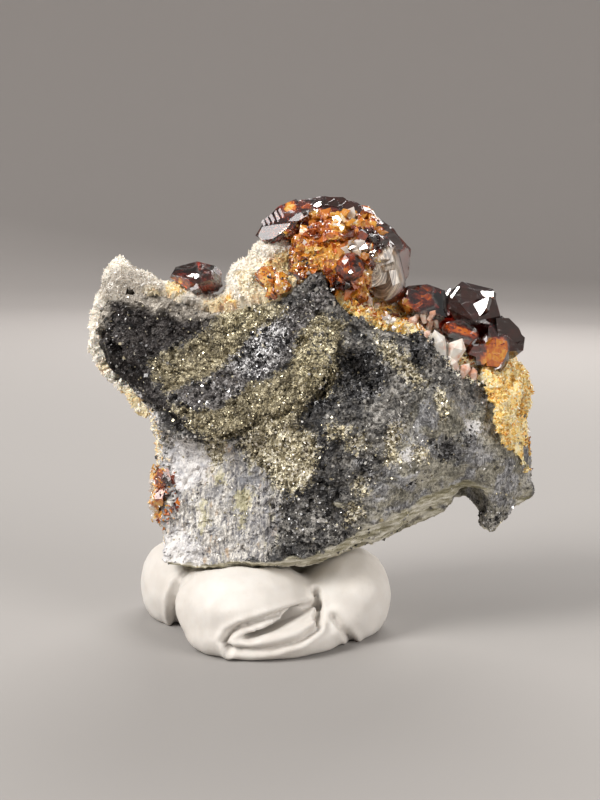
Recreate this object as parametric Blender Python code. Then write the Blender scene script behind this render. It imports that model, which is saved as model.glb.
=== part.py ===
# A sphalerite specimen: a broken piece of banded sulphide rock with a crust of quartz on its back and
# crest, clusters of sphalerite crystals on the crust, and the lump of white putty that holds it up.
# +Z is up, the broken front faces -Y, and the origin is under the middle of the whole thing, on the
# surface it stands on. The shaping is done in millimetres, and the finished objects are in metres.

import math
import random

import bmesh
import bpy
from mathutils import Euler, Matrix, Vector, noise

MM = 0.001

# Clearance that touching pieces keep, and how far a cutter is swollen to leave it. At a sharp corner
# the cutter moves further, up to the limit times the clearance.
GAP = 0.4
SWELL_LIMIT = 1.8

# A cutter runs out to here where it has no edge of its own, which is past the specimen on every side.
FAR = 80.0

# Corners closer than this become one.
WELD = 0.002

# The crust of quartz on the rock, and the stained crust on its right edge.
DRUSE_THICKNESS = 1.7
STAIN_THICKNESS = 1.9

# How finely each piece is shaped, and about how many triangles it keeps.
ROCK_VOXEL = 0.75
CRUST_VOXEL = 0.7
PUTTY_VOXEL = 0.8
ROCK_FACES = 2500
DRUSE_FACES = 2100
STAIN_FACES = 460
PUTTY_FACES = 560
PUTTY_SMOOTHING = 4

# Relief of the rock and of its crusts, as (size across, height). The rock is smoother under the crust,
# from the first depth behind the middle to the second.
ROCK_SWELLS = (8.0, 0.35)
ROCK_CHIPS = (3.6, 0.38)
ROCK_GRAIN = (1.6, 0.14)
ROCK_CALMER = (1.0, 4.0)
ROCK_CALM = 0.8
CRUST_SWELLS = (6.0, 0.5)
CRUST_LUMPS = (2.1, 0.8)

# Sections of the rock from its left end to its right end, as (x, ring). Each ring runs the same way
# round, as (y, z): under the back, under the front, foot of the front, lower front, notch under the
# lip, lip, ridge, scoop, front of the crest, back of the crest, upper back, lower back.
ROCK_SECTIONS = [
    (-22.7, [(1.4, 39.6), (0.6, 38.9), (-0.1, 39.2), (-0.5, 40.0), (-0.8, 40.8), (-0.9, 41.6),
             (-0.9, 42.4), (-0.6, 44.0), (-0.1, 45.2), (1.4, 45.2), (2.0, 44.2), (2.0, 41.4)]),
    (-21.2, [(2.0, 36.9), (0.2, 36.0), (-0.8, 36.3), (-1.5, 37.0), (-2.0, 38.0), (-2.3, 39.0),
             (-2.5, 40.6), (-1.1, 44.0), (-0.3, 46.2), (2.0, 46.2), (3.2, 44.0), (3.0, 40.0)]),
    (-18.3, [(2.2, 34.2), (0.3, 33.4), (-1.4, 33.7), (-2.4, 34.7), (-3.1, 35.9), (-3.6, 37.0),
             (-4.1, 38.6), (-1.8, 43.0), (-0.8, 46.9), (1.8, 47.0), (4.0, 44.0), (3.8, 38.0)]),
    (-15.1, [(2.5, 30.4), (0.4, 29.6), (-2.2, 29.8), (-3.3, 30.8), (-4.2, 32.0), (-5.0, 33.2),
             (-5.6, 35.0), (-2.3, 41.0), (-1.2, 46.7), (1.6, 46.8), (4.8, 43.0), (4.8, 35.0)]),
    (-13.2, [(5.5, 10.8), (-1.0, 9.9), (-5.8, 10.1), (-4.6, 19.0), (-3.8, 27.2), (-6.0, 29.2),
             (-6.6, 33.0), (-2.8, 40.5), (-1.6, 46.3), (1.6, 46.4), (5.4, 42.0), (6.4, 24.0)]),
    (-8.6, [(7.0, 10.2), (-2.6, 9.6), (-7.9, 10.3), (-6.1, 18.0), (-5.0, 26.2), (-8.6, 27.8),
            (-8.5, 31.0), (-4.2, 39.4), (-2.5, 45.2), (1.8, 45.4), (6.2, 41.0), (7.8, 24.0)]),
    (-3.1, [(8.0, 10.3), (-3.6, 9.6), (-8.8, 11.0), (-7.7, 18.0), (-6.4, 27.2), (-9.3, 28.9),
            (-8.8, 32.6), (-5.6, 39.2), (-3.5, 45.0), (2.0, 45.2), (7.2, 41.0), (8.8, 25.0)]),
    (2.1, [(8.5, 10.6), (-4.6, 9.9), (-9.6, 11.8), (-9.1, 19.0), (-8.4, 29.6), (-9.8, 31.6),
           (-8.9, 35.4), (-6.7, 41.0), (-5.4, 46.6), (2.0, 46.6), (8.2, 42.0), (9.6, 26.0)]),
    (7.0, [(8.8, 11.4), (-4.6, 10.3), (-10.0, 13.0), (-10.4, 21.0), (-10.2, 32.0), (-8.6, 34.8),
           (-9.8, 38.0), (-9.0, 44.0), (-7.4, 51.0), (-3.0, 49.8), (8.6, 42.0), (10.2, 27.0)]),
    (11.0, [(8.8, 12.6), (-4.0, 10.9), (-10.2, 14.6), (-11.0, 22.0), (-10.6, 31.0), (-8.0, 34.6),
            (-7.4, 38.2), (-8.0, 42.0), (-6.6, 45.5), (1.0, 45.6), (8.6, 40.0), (10.2, 27.0)]),
    (16.3, [(8.5, 14.8), (-2.0, 12.2), (-9.2, 17.3), (-10.8, 23.0), (-10.8, 31.0), (-9.1, 35.0),
            (-8.6, 38.0), (-7.6, 41.0), (-5.8, 43.3), (2.0, 43.6), (8.6, 38.0), (10.0, 27.0)]),
    (21.9, [(8.0, 17.2), (-0.5, 15.0), (-7.8, 20.2), (-9.6, 25.0), (-9.6, 31.0), (-9.1, 35.0),
            (-8.2, 38.0), (-6.8, 40.5), (-4.8, 42.2), (3.0, 42.2), (8.6, 37.0), (9.4, 27.0)]),
    (26.4, [(7.5, 19.2), (1.0, 17.7), (-5.8, 22.3), (-7.5, 26.0), (-7.9, 30.0), (-7.7, 33.0),
            (-7.0, 35.4), (-5.8, 37.3), (-4.2, 38.6), (4.0, 39.0), (8.2, 35.0), (8.6, 27.0)]),
    (29.3, [(7.0, 18.6), (1.6, 17.2), (-4.7, 22.6), (-6.1, 26.0), (-6.7, 29.5), (-6.5, 32.0),
            (-5.9, 34.0), (-5.0, 35.6), (-3.6, 37.0), (4.5, 37.8), (7.6, 34.0), (8.0, 27.0)]),
    (32.3, [(5.5, 16.6), (1.6, 14.4), (-1.5, 14.6), (-3.7, 19.0), (-4.9, 24.0), (-5.1, 28.0),
            (-4.7, 31.5), (-4.0, 34.5), (-2.8, 36.6), (4.2, 37.6), (7.0, 33.0), (7.2, 26.0)]),
    (35.0, [(4.5, 18.2), (2.4, 16.4), (-0.4, 16.6), (-2.3, 20.4), (-3.1, 24.0), (-3.1, 27.4),
            (-2.6, 30.6), (-1.8, 34.0), (-0.6, 36.2), (3.8, 36.8), (6.0, 32.0), (6.2, 25.0)]),
    (36.4, [(4.0, 19.0), (2.6, 17.8), (0.6, 18.0), (-0.8, 20.5), (-1.2, 23.4), (-1.0, 26.0),
            (-0.4, 28.8), (0.2, 31.8), (1.0, 33.6), (3.0, 33.8), (4.4, 30.0), (4.6, 24.6)]),
    (38.2, [(3.0, 20.2), (2.2, 19.6), (0.8, 19.8), (0.0, 20.6), (-0.3, 21.4), (-0.3, 22.2),
            (0.0, 23.0), (0.6, 23.8), (1.4, 24.4), (2.8, 24.6), (3.6, 23.8), (3.8, 22.2)]),
]

# The hollow behind the hanging tip at the lower right, as (centre, radii).
CAVE = ((29.4, -0.6, 18.6), (2.3, 5.4, 3.4))

# Lumps of the quartz crust that stand above the rest, as (centre, radii): the lobe at the top left,
# the swelling along the saddle and the tall patch that the large ball of crystals sits on.
DRUSE_LUMPS = [
    ((-20.2, 1.9, 47.4), (2.8, 2.9, 4.5)),
    ((-17.4, 2.2, 47.2), (3.0, 2.6, 3.0)),
    ((-22.3, 1.4, 43.4), (1.5, 2.4, 4.0)),
    ((-22.2, 1.0, 38.4), (1.4, 1.8, 2.0)),
    ((-2.4, 1.0, 48.2), (3.4, 4.2, 3.8)),
    ((1.4, 1.6, 50.6), (4.4, 4.6, 4.4)),
    ((10.0, 2.6, 46.0), (9.0, 5.0, 2.6)),
    ((24.0, 3.0, 40.2), (7.0, 4.6, 2.2)),
    ((-9.0, 8.0, 30.0), (5.0, 2.6, 6.0)),
    ((6.0, 10.4, 33.0), (8.0, 2.8, 6.5)),
    ((24.0, 9.0, 31.0), (7.0, 3.0, 5.0)),
]

# How far forward the quartz crust comes, as (x, y). It stays behind the lower left wall of the rock,
# which this outline leaves bare, as (x, z). It ends above a broken line along the foot of the back.
DRUSE_FRONT = [(-30.0, -0.6), (-18.0, -0.8), (-12.0, -1.7), (-5.0, -3.1), (1.0, -4.7), (4.4, -4.6),
               (6.4, -1.6), (9.0, -4.2), (12.0, -6.0), (18.0, -5.3), (24.0, -4.2), (29.0, -3.4),
               (33.0, -1.5), (45.0, -1.0)]
DRUSE_FRONT_LOWEST = 5.0
DRUSE_WALL = [(-FAR, 0.0), (-11.0, 0.0), (-11.0, 28.6), (-14.4, 29.2), (-FAR, 34.6)]
DRUSE_WALL_FRONT = 4.8
DRUSE_FOOT = [(60.0, 27.6), (36.0, 25.6), (30.0, 22.0), (18.0, 19.6), (8.0, 14.6), (-4.0, 15.4),
              (-40.0, 13.2)]
BREAK_STEP = 1.6
BREAK_HEIGHT = 1.3
BREAK_SIZE = 3.1

# The stained crust covers the right edge inside this outline, as (x, z), and ends before the back. The
# quartz crust stops at its left side, and beyond the second outline.
STAIN_OUTLINE = [(29.6, 37.4), (31.0, 34.0), (31.8, 30.6), (33.2, 28.0), (36.0, 25.4), (36.8, 23.2),
                 (42.0, 23.2), (42.0, 44.0), (33.4, 44.0)]
STAIN_SIDE = STAIN_OUTLINE[:6]
STAIN_BEYOND = [(FAR, 22.8), (FAR, FAR), (32.6, FAR), (29.2, 38.0)]
STAIN_BACK = 4.6

# Crystals with a form of their own, as the corners of their flat faces.
TOP_PLATES = [
    [(3.6, -3.4, 50.2), (5.4, -4.0, 56.4), (12.5, -4.4, 57.6), (16.4, -3.6, 54.0), (16.2, -3.4, 49.2),
     (11.5, -4.8, 47.8), (7.5, 2.0, 58.0), (14.0, 3.0, 57.0), (16.0, 3.0, 50.0), (5.0, 3.0, 50.0)],
    [(-1.6, 0.0, 55.0), (-0.4, 0.4, 57.0), (1.4, 0.5, 59.0), (3.8, 0.5, 60.1), (5.2, -1.5, 58.6),
     (3.6, -3.9, 56.2), (0.2, -3.2, 54.2), (4.0, 7.0, 58.4), (-0.5, 6.0, 56.0), (3.0, 4.0, 52.4)],
    [(4.2, 0.0, 59.9), (7.6, 0.5, 60.6), (12.0, 0.0, 59.9), (13.6, -1.0, 58.8), (9.5, -3.6, 58.0),
     (4.6, -3.2, 58.2), (6.0, 7.0, 59.6), (12.5, 7.0, 58.8), (9.0, 3.0, 54.0)],
    [(13.6, -1.0, 58.7), (17.2, 0.2, 56.5), (18.7, 0.2, 54.4), (16.6, -3.2, 53.8), (14.0, -3.6, 56.6),
     (16.6, 7.0, 57.0), (18.6, 6.0, 53.0), (12.0, 3.0, 54.0)],
]
RIGHT_PLATES = [
    [(26.9, 1.0, 49.5), (31.2, 0.6, 48.6), (32.3, 0.0, 45.0), (28.4, -3.4, 44.4), (24.8, -1.6, 46.0),
     (25.2, -0.6, 48.2), (29.0, 6.0, 47.0), (33.0, 5.0, 43.6), (25.2, 5.0, 45.4), (29.0, 2.0, 40.0)],
    [(18.0, 0.6, 46.4), (18.8, 1.0, 48.6), (22.2, 1.2, 49.0), (25.3, 1.0, 48.0), (24.8, -1.8, 44.8),
     (21.5, -2.8, 45.2), (18.6, -1.8, 46.4), (19.0, 6.0, 47.2), (24.4, 6.0, 46.4), (21.5, 3.0, 41.0)],
    [(30.8, 0.0, 44.4), (32.6, 0.6, 45.0), (36.0, 1.0, 42.0), (35.6, -0.6, 40.4), (33.4, -2.4, 40.4),
     (30.4, -1.8, 41.8), (34.8, 6.0, 42.6), (31.0, 6.0, 44.0), (32.0, 2.0, 36.6)],
]

# Other sphalerite crystals, as (centre, radius, stretch, seed). The seed turns the crystal and sets
# which of its faces are large.
TOP_CRYSTALS = [
    ((9.2, 1.6, 51.4), 8.6, (1.05, 0.90, 0.92), 4),
    ((16.4, 0.0, 50.4), 3.9, (0.80, 1.00, 1.10), 55),
    ((11.6, -5.2, 51.0), 2.7, (1.00, 0.80, 1.00), 61),
    ((9.6, 9.4, 54.2), 5.2, (1.00, 1.00, 0.90), 105),
    ((2.6, 8.0, 52.6), 4.6, (1.00, 1.00, 0.95), 116),
    ((15.8, 8.4, 51.6), 4.4, (1.00, 1.00, 1.00), 127),
    ((8.8, 12.4, 49.0), 3.6, (1.00, 1.00, 1.00), 138),
]
RIGHT_CRYSTALS = [
    ((26.8, -1.6, 42.2), 2.7, (1.10, 0.90, 0.85), 37),
    ((29.2, -2.6, 39.8), 2.0, (1.00, 0.90, 0.90), 48),
    ((31.6, -2.2, 38.8), 2.4, (1.00, 0.90, 1.00), 59),
    ((25.4, 8.0, 42.6), 4.6, (1.00, 1.00, 0.95), 63),
    ((31.4, 8.0, 39.6), 4.2, (1.00, 1.00, 1.00), 71),
]
LEFT_CRYSTALS = [((-9.7, 1.6, 48.2), 3.3, (1.05, 1.00, 0.95), 5)]
SMALL_CRYSTALS = [
    ((0.2, -4.0, 49.6), 1.6, (1.00, 0.90, 1.00), 8),
    ((2.2, -4.6, 48.8), 1.6, (1.00, 0.90, 1.00), 17),
    ((1.0, -4.4, 47.6), 1.3, (1.00, 0.90, 0.90), 29),
]
EDGE_CRYSTALS = [
    ((-13.4, -2.6, 21.6), 2.1, (0.90, 1.10, 1.00), 6),
    ((-13.5, -3.2, 18.8), 2.0, (0.90, 1.10, 1.10), 15),
    ((-13.4, -1.8, 16.4), 1.8, (0.90, 1.10, 1.10), 27),
    ((-13.4, 0.0, 19.4), 2.2, (0.90, 1.10, 1.20), 38),
]

# Crystals on the back of the specimen, one list for each cluster.
BACK_CLUSTERS = [
    [((-12.4, 7.2, 37.6), 3.4, (1.00, 1.00, 1.00), 9), ((-8.8, 8.8, 34.4), 2.9, (1.00, 1.00, 1.00), 18),
     ((-12.4, 7.8, 33.6), 2.2, (1.00, 1.00, 1.00), 19), ((-9.0, 8.4, 38.6), 1.8, (1.00, 1.00, 1.00), 20)],
    [((3.6, 12.8, 31.6), 4.6, (1.00, 1.00, 1.00), 21), ((9.2, 13.0, 35.0), 3.9, (1.00, 1.00, 1.00), 33),
     ((9.2, 12.8, 28.6), 3.3, (1.00, 1.00, 1.00), 45), ((3.8, 12.4, 37.0), 2.6, (1.00, 1.00, 1.00), 47),
     ((-0.6, 11.6, 34.6), 2.2, (1.00, 1.00, 1.00), 49), ((14.0, 11.8, 31.8), 2.4, (1.00, 1.00, 1.00), 50)],
    [((22.6, 11.8, 28.8), 3.9, (1.00, 1.00, 1.00), 52), ((26.2, 11.2, 32.2), 3.1, (1.00, 1.00, 1.00), 66),
     ((26.8, 10.4, 28.6), 2.2, (1.00, 1.00, 1.00), 67)],
    [((-0.6, 9.6, 21.4), 3.0, (1.00, 1.00, 1.00), 73), ((3.0, 10.0, 22.6), 2.2, (1.00, 1.00, 1.00), 77)],
]

# The broken front of the large ball: a rubble of small crystals inside an oval, as its middle, its
# half width and half height, how uneven its face is, how far its rim curves back and the crystal sizes.
# Each crystal sits one golden angle round from the last.
RUBBLE_COUNT = 14
RUBBLE_MIDDLE = (10.2, -4.9, 52.4)
RUBBLE_SPREAD = (6.4, 5.2)
RUBBLE_DEPTH = 0.9
RUBBLE_CURVE = 2.2
GOLDEN_ANGLE = math.radians(137.5)
RUBBLE_RADIUS = (1.1, 2.0)
RUBBLE_SEED = 12

# Lumps of the putty, as (centre, radii, turn about Z in degrees), with its flat foot at z = 0.
PUTTY_LUMPS = [
    ((-2.0, -5.4, 5.2), (9.6, 9.6, 6.0), 0.0),
    ((1.6, -8.2, 1.9), (11.6, 7.6, 3.7), 14.0),
    ((12.4, 0.0, 4.6), (6.5, 9.0, 7.2), -8.0),
    ((-12.8, 3.6, 4.4), (4.5, 7.4, 6.4), 14.0),
    ((1.0, 6.6, 4.2), (12.5, 6.4, 7.0), 0.0),
]
# The slot between the folded layers of the putty, as (x, z) along its middle, its half height and
# how far back it runs.
FOLD_PATH = [(-4.6, 2.6), (-1.0, 3.3), (3.2, 4.6), (8.4, 6.2)]
FOLD_HALF = 0.55
FOLD_BACK = -9.6

# Faces of a sphalerite crystal: two opposed tetrahedra and a cube, by how far out each kind stands.
# They are cut from a block, and corners closer than the weld distance become one.
CRYSTAL_BLOCK = 3.0
CRYSTAL_WELD = 0.02
TETRAHEDRON = [Vector((1, 1, 1)), Vector((1, -1, -1)), Vector((-1, 1, -1)), Vector((-1, -1, 1))]
CUBE = [Vector((1, 0, 0)), Vector((-1, 0, 0)), Vector((0, 1, 0)),
        Vector((0, -1, 0)), Vector((0, 0, 1)), Vector((0, 0, -1))]
LARGE_FACE_REACH = (0.58, 0.76)
SMALL_FACE_REACH = (0.84, 1.04)
CUBE_FACE_REACH = (0.80, 1.06)


def clear_scene():
    for thing in list(bpy.data.objects):
        bpy.data.objects.remove(thing, do_unlink=True)


def make_material(name, colour, roughness, metallic=0.0, transmission=0.0, ior=1.5):
    material = bpy.data.materials.new(name)
    material.use_nodes = True
    shader = material.node_tree.nodes["Principled BSDF"]
    shader.inputs["Base Color"].default_value = (*colour, 1.0)
    shader.inputs["Roughness"].default_value = roughness
    shader.inputs["Metallic"].default_value = metallic
    shader.inputs["Transmission Weight"].default_value = transmission
    shader.inputs["IOR"].default_value = ior
    material.diffuse_color = (*colour, 1.0)
    return material


def add_object(name, bm, cutter=False):
    bmesh.ops.recalc_face_normals(bm, faces=bm.faces[:])
    mesh = bpy.data.meshes.new(name)
    bm.to_mesh(mesh)
    bm.free()
    thing = bpy.data.objects.new(name, mesh)
    bpy.context.scene.collection.objects.link(thing)
    if cutter:
        thing.hide_render = True
        thing.display_type = "WIRE"
    return thing


def bake(thing):
    # Turns what the modifiers make into the object's own mesh.
    graph = bpy.context.evaluated_depsgraph_get()
    mesh = bpy.data.meshes.new_from_object(thing.evaluated_get(graph))
    thing.modifiers.clear()
    thing.data = mesh
    return thing


def copy_of(thing, name):
    twin = bpy.data.objects.new(name, thing.data.copy())
    bpy.context.scene.collection.objects.link(twin)
    return twin


def remove(*things):
    for thing in things:
        bpy.data.objects.remove(thing, do_unlink=True)


def remesh(thing, voxel):
    step = thing.modifiers.new("Remesh", "REMESH")
    step.mode = "VOXEL"
    step.voxel_size = voxel
    return bake(thing)


def thin_out(thing, wanted):
    bm = bmesh.new()
    bm.from_mesh(thing.data)
    bmesh.ops.triangulate(bm, faces=bm.faces[:])
    count = len(bm.faces)
    bm.to_mesh(thing.data)
    bm.free()
    step = thing.modifiers.new("Decimate", "DECIMATE")
    step.ratio = min(1.0, wanted / count)
    return bake(thing)


def boolean(thing, other, operation):
    step = thing.modifiers.new(operation, "BOOLEAN")
    step.operation = operation
    step.object = other
    step.use_self = True
    return bake(thing)


def keep_largest(thing):
    # Keeps the island with the most volume, and drops crumbs that a cut has set free.
    bm = bmesh.new()
    bm.from_mesh(thing.data)
    bmesh.ops.remove_doubles(bm, verts=bm.verts[:], dist=WELD)
    bmesh.ops.triangulate(bm, faces=bm.faces[:])
    bm.faces.ensure_lookup_table()
    islands = []
    seen = set()
    for face in bm.faces:
        if face.index in seen:
            continue
        island = []
        queue = [face]
        seen.add(face.index)
        while queue:
            current = queue.pop()
            island.append(current)
            for edge in current.edges:
                for neighbour in edge.link_faces:
                    if neighbour.index not in seen:
                        seen.add(neighbour.index)
                        queue.append(neighbour)
        islands.append(island)
    islands.sort(key=lambda faces: -abs(enclosed_volume(faces)))
    spare = [face for island in islands[1:] for face in island]
    bmesh.ops.delete(bm, geom=spare, context="FACES")
    bm.to_mesh(thing.data)
    bm.free()
    return thing


def enclosed_volume(faces):
    total = 0.0
    for face in faces:
        first, second, third = [corner.co for corner in face.verts]
        total += first.dot(second.cross(third)) / 6.0
    return total


def swell(thing, name, amount):
    # A cutter: the same shape with every face moved out by the amount.
    cutter = copy_of(thing, name)
    bm = bmesh.new()
    bm.from_mesh(cutter.data)
    bm.normal_update()
    moves = [vert.normal * amount * min(vert.calc_shell_factor(), SWELL_LIMIT) for vert in bm.verts]
    for vert, move in zip(bm.verts, moves):
        vert.co += move
    bm.to_mesh(cutter.data)
    bm.free()
    cutter.hide_render = True
    cutter.display_type = "WIRE"
    return cutter


def ellipsoid(bm, centre, radii, turn=0.0, rings=18):
    place = Matrix.Translation(centre) @ Matrix.Rotation(math.radians(turn), 4, "Z")
    place = place @ Matrix.Diagonal((*radii, 1.0))
    bmesh.ops.create_uvsphere(bm, u_segments=2 * rings, v_segments=rings, radius=1.0, matrix=place)


def prism(bm, outline, axis, start, end):
    # Extrudes an outline of (a, b) pairs along Y, or along Z where the pairs are (x, y).
    def corner(pair, along):
        if axis == "Y":
            return Vector((pair[0], along, pair[1]))
        return Vector((pair[0], pair[1], along))

    near = [bm.verts.new(corner(pair, start)) for pair in outline]
    far = [bm.verts.new(corner(pair, end)) for pair in outline]
    bm.faces.new(near)
    bm.faces.new(far[::-1])
    for index in range(len(outline)):
        following = (index + 1) % len(outline)
        bm.faces.new((near[index], far[index], far[following], near[following]))


def broken_line(line):
    # The same line with short steps in it, shaken up and down as a broken edge is.
    points = [line[0]]
    for start, end in zip(line, line[1:]):
        steps = max(1, int(abs(end[0] - start[0]) / BREAK_STEP))
        for step in range(1, steps + 1):
            x = start[0] + (end[0] - start[0]) * step / steps
            z = start[1] + (end[1] - start[1]) * step / steps
            place = Vector((x, z, 0.0)) / BREAK_SIZE
            points.append((x, z + BREAK_HEIGHT * noise.noise(place)))
    return points


def roughen(thing, depth_at):
    # Moves each corner along its normal by the depth that the function gives there.
    bm = bmesh.new()
    bm.from_mesh(thing.data)
    bm.normal_update()
    moves = [vert.normal * depth_at(vert.co) for vert in bm.verts]
    for vert, move in zip(bm.verts, moves):
        vert.co += move
    bm.to_mesh(thing.data)
    bm.free()


def chips(point, size):
    # Flat chips with steps between them, from 0 to 1.
    nearest = noise.voronoi(point / size)[1][0]
    return noise.cell(nearest * 7.3)


def rock_depth(point):
    start, end = ROCK_CALMER
    behind = max(0.0, min(1.0, (point.y - start) / (end - start)))
    size, height = ROCK_SWELLS
    swells = noise.fractal(point / size, 1.0, 2.0, 3) * height
    size, height = ROCK_CHIPS
    chipped = (chips(point, size) - 0.5) * height
    size, height = ROCK_GRAIN
    grain = noise.noise(point / size) * height
    return (swells + chipped + grain) * (1.0 - ROCK_CALM * behind)


def crust_depth(point):
    size, height = CRUST_SWELLS
    swells = noise.noise(point / size) * height
    size, height = CRUST_LUMPS
    lumps = (0.5 - noise.voronoi(point / size)[0][0]) * height
    return swells + lumps


def build_rock():
    bm = bmesh.new()
    rings = [[bm.verts.new((x, y, z)) for y, z in ring] for x, ring in ROCK_SECTIONS]
    for ring, following in zip(rings, rings[1:]):
        for index in range(len(ring)):
            after = (index + 1) % len(ring)
            bm.faces.new((ring[index], following[index], following[after], ring[after]))
    bm.faces.new(rings[0])
    bm.faces.new(rings[-1][::-1])
    bmesh.ops.triangulate(bm, faces=bm.faces[:])
    rock = add_object("matrix", bm)
    hollow = bmesh.new()
    ellipsoid(hollow, *CAVE)
    cave = add_object("cave_cutter", hollow, cutter=True)
    boolean(rock, cave, "DIFFERENCE")
    remove(cave)
    remesh(rock, ROCK_VOXEL)
    roughen(rock, rock_depth)
    thin_out(rock, ROCK_FACES)
    return keep_largest(rock)


def coated(rock, name, thickness, lumps):
    # The rock with its coat on, still one solid block, before the rock is taken out of it.
    swollen = swell(rock, name, thickness)
    bm = bmesh.new()
    bm.from_mesh(swollen.data)
    for centre, radii in lumps:
        ellipsoid(bm, centre, radii)
    remove(swollen)
    coat = add_object(name, bm)
    remesh(coat, CRUST_VOXEL)
    roughen(coat, crust_depth)
    return coat


def outline_cutter(name, outline, axis, start, end):
    bm = bmesh.new()
    prism(bm, outline, axis, start, end)
    return add_object(name, bm, cutter=True)


def build_druse(rock, rock_cutter):
    druse = coated(rock, "quartz_druse", DRUSE_THICKNESS, DRUSE_LUMPS)
    thin_out(druse, DRUSE_FACES)
    in_front = [(DRUSE_FRONT[0][0], -FAR)] + DRUSE_FRONT + [(DRUSE_FRONT[-1][0], -FAR)]
    below = [(-FAR, -FAR), (FAR, -FAR)] + broken_line(DRUSE_FOOT)
    beside = [(x - GAP, z - GAP) for x, z in STAIN_SIDE] + STAIN_BEYOND
    cutters = [outline_cutter("front_cutter", in_front, "Z", DRUSE_FRONT_LOWEST, FAR),
               outline_cutter("wall_cutter", DRUSE_WALL, "Y", -FAR, DRUSE_WALL_FRONT),
               outline_cutter("foot_cutter", below, "Y", -FAR, FAR),
               outline_cutter("side_cutter", beside, "Y", -FAR, STAIN_BACK + GAP)]
    for cutter in cutters + [rock_cutter]:
        boolean(druse, cutter, "DIFFERENCE")
    remove(*cutters)
    return keep_largest(druse)


def build_stain(rock, rock_cutter):
    stain = coated(rock, "stained_crust", STAIN_THICKNESS, [])
    outline = outline_cutter("stain_outline", STAIN_OUTLINE, "Y", -FAR, STAIN_BACK)
    boolean(stain, outline, "INTERSECT")
    thin_out(stain, STAIN_FACES)
    boolean(stain, rock_cutter, "DIFFERENCE")
    remove(outline)
    return keep_largest(stain)


def build_crystal(centre, radius, stretch, seed):
    # One flat-faced crystal, cut from a block by its faces.
    chance = random.Random(seed)
    planes = [(face.normalized(), chance.uniform(*LARGE_FACE_REACH)) for face in TETRAHEDRON]
    planes += [(-face.normalized(), chance.uniform(*SMALL_FACE_REACH)) for face in TETRAHEDRON]
    planes += [(face, chance.uniform(*CUBE_FACE_REACH)) for face in CUBE]
    bm = bmesh.new()
    bmesh.ops.create_cube(bm, size=CRYSTAL_BLOCK)
    for normal, reach in planes:
        pieces = bm.verts[:] + bm.edges[:] + bm.faces[:]
        cut = bmesh.ops.bisect_plane(
            bm, geom=pieces, plane_co=normal * reach, plane_no=normal, clear_outer=True)
        rim = [piece for piece in cut["geom_cut"] if isinstance(piece, bmesh.types.BMEdge)]
        bmesh.ops.edgeloop_fill(bm, edges=rim)
    bmesh.ops.remove_doubles(bm, verts=bm.verts[:], dist=CRYSTAL_WELD)
    turn = Euler([chance.uniform(0.0, math.tau) for axis in range(3)]).to_matrix().to_4x4()
    place = Matrix.Translation(centre) @ Matrix.Diagonal((*(radius * side for side in stretch), 1.0))
    bmesh.ops.transform(bm, matrix=place @ turn, verts=bm.verts[:])
    return add_object("crystal", bm)


def build_plate(corners):
    bm = bmesh.new()
    verts = [bm.verts.new(corner) for corner in corners]
    hull = bmesh.ops.convex_hull(bm, input=verts)
    bmesh.ops.delete(bm, geom=hull["geom_interior"], context="VERTS")
    return add_object("plate", bm)


def rubble():
    chance = random.Random(RUBBLE_SEED)
    crystals = []
    for number in range(RUBBLE_COUNT):
        angle = number * GOLDEN_ANGLE
        reach = math.sqrt((number + 0.5) / RUBBLE_COUNT)
        centre = (RUBBLE_MIDDLE[0] + RUBBLE_SPREAD[0] * reach * math.cos(angle),
                  RUBBLE_MIDDLE[1] + RUBBLE_DEPTH * chance.uniform(-1.0, 1.0) + RUBBLE_CURVE * reach ** 3,
                  RUBBLE_MIDDLE[2] + RUBBLE_SPREAD[1] * reach * math.sin(angle))
        radius = chance.uniform(*RUBBLE_RADIUS)
        crystals.append((centre, radius, (1.0, 1.0, 1.0), RUBBLE_SEED + number))
    return crystals


def build_cluster(name, plates, crystals, cutters):
    cluster = None
    pieces = [build_plate(corners) for corners in plates]
    pieces += [build_crystal(*crystal) for crystal in crystals]
    for piece in pieces:
        if cluster is None:
            cluster = piece
            continue
        boolean(cluster, piece, "UNION")
        remove(piece)
    cluster.name = name
    for cutter in cutters:
        boolean(cluster, cutter, "DIFFERENCE")
    return keep_largest(cluster)


def build_putty(rock_cutter):
    bm = bmesh.new()
    for centre, radii, turn in PUTTY_LUMPS:
        ellipsoid(bm, centre, radii, turn)
    putty = add_object("mounting_putty", bm)
    remesh(putty, PUTTY_VOXEL)
    soften = putty.modifiers.new("Smooth", "SMOOTH")
    soften.iterations = PUTTY_SMOOTHING
    bake(putty)
    thin_out(putty, PUTTY_FACES)
    upper = [(x, z + FOLD_HALF) for x, z in FOLD_PATH]
    lower = [(x, z - FOLD_HALF) for x, z in FOLD_PATH[1:]]
    fold = outline_cutter("fold_cutter", upper + lower[::-1], "Y", -FAR, FOLD_BACK)
    square = [(-FAR, -FAR), (FAR, -FAR), (FAR, FAR), (-FAR, FAR)]
    ground = outline_cutter("ground_cutter", square, "Z", -FAR, 0.0)
    for cutter in (ground, fold, rock_cutter):
        boolean(putty, cutter, "DIFFERENCE")
    remove(ground, fold)
    return keep_largest(putty)


def finish(pieces):
    # Gives each piece its material, centres the whole thing over the origin and turns it to metres.
    low = [min(vert.co[axis] for piece, material in pieces for vert in piece.data.vertices)
           for axis in range(3)]
    high = [max(vert.co[axis] for piece, material in pieces for vert in piece.data.vertices)
            for axis in range(3)]
    middle = Vector(((low[0] + high[0]) / 2, (low[1] + high[1]) / 2, low[2]))
    for piece, material in pieces:
        piece.data.transform(Matrix.Scale(MM, 4) @ Matrix.Translation(-middle))
        piece.data.materials.clear()
        piece.data.materials.append(material)
        piece.data.shade_flat()
    print("moved by", [round(-value, 3) for value in middle], "size",
          [round(high[axis] - low[axis], 2) for axis in range(3)])
    for piece, material in pieces:
        print(piece.name, len(piece.data.polygons), "faces")


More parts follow.
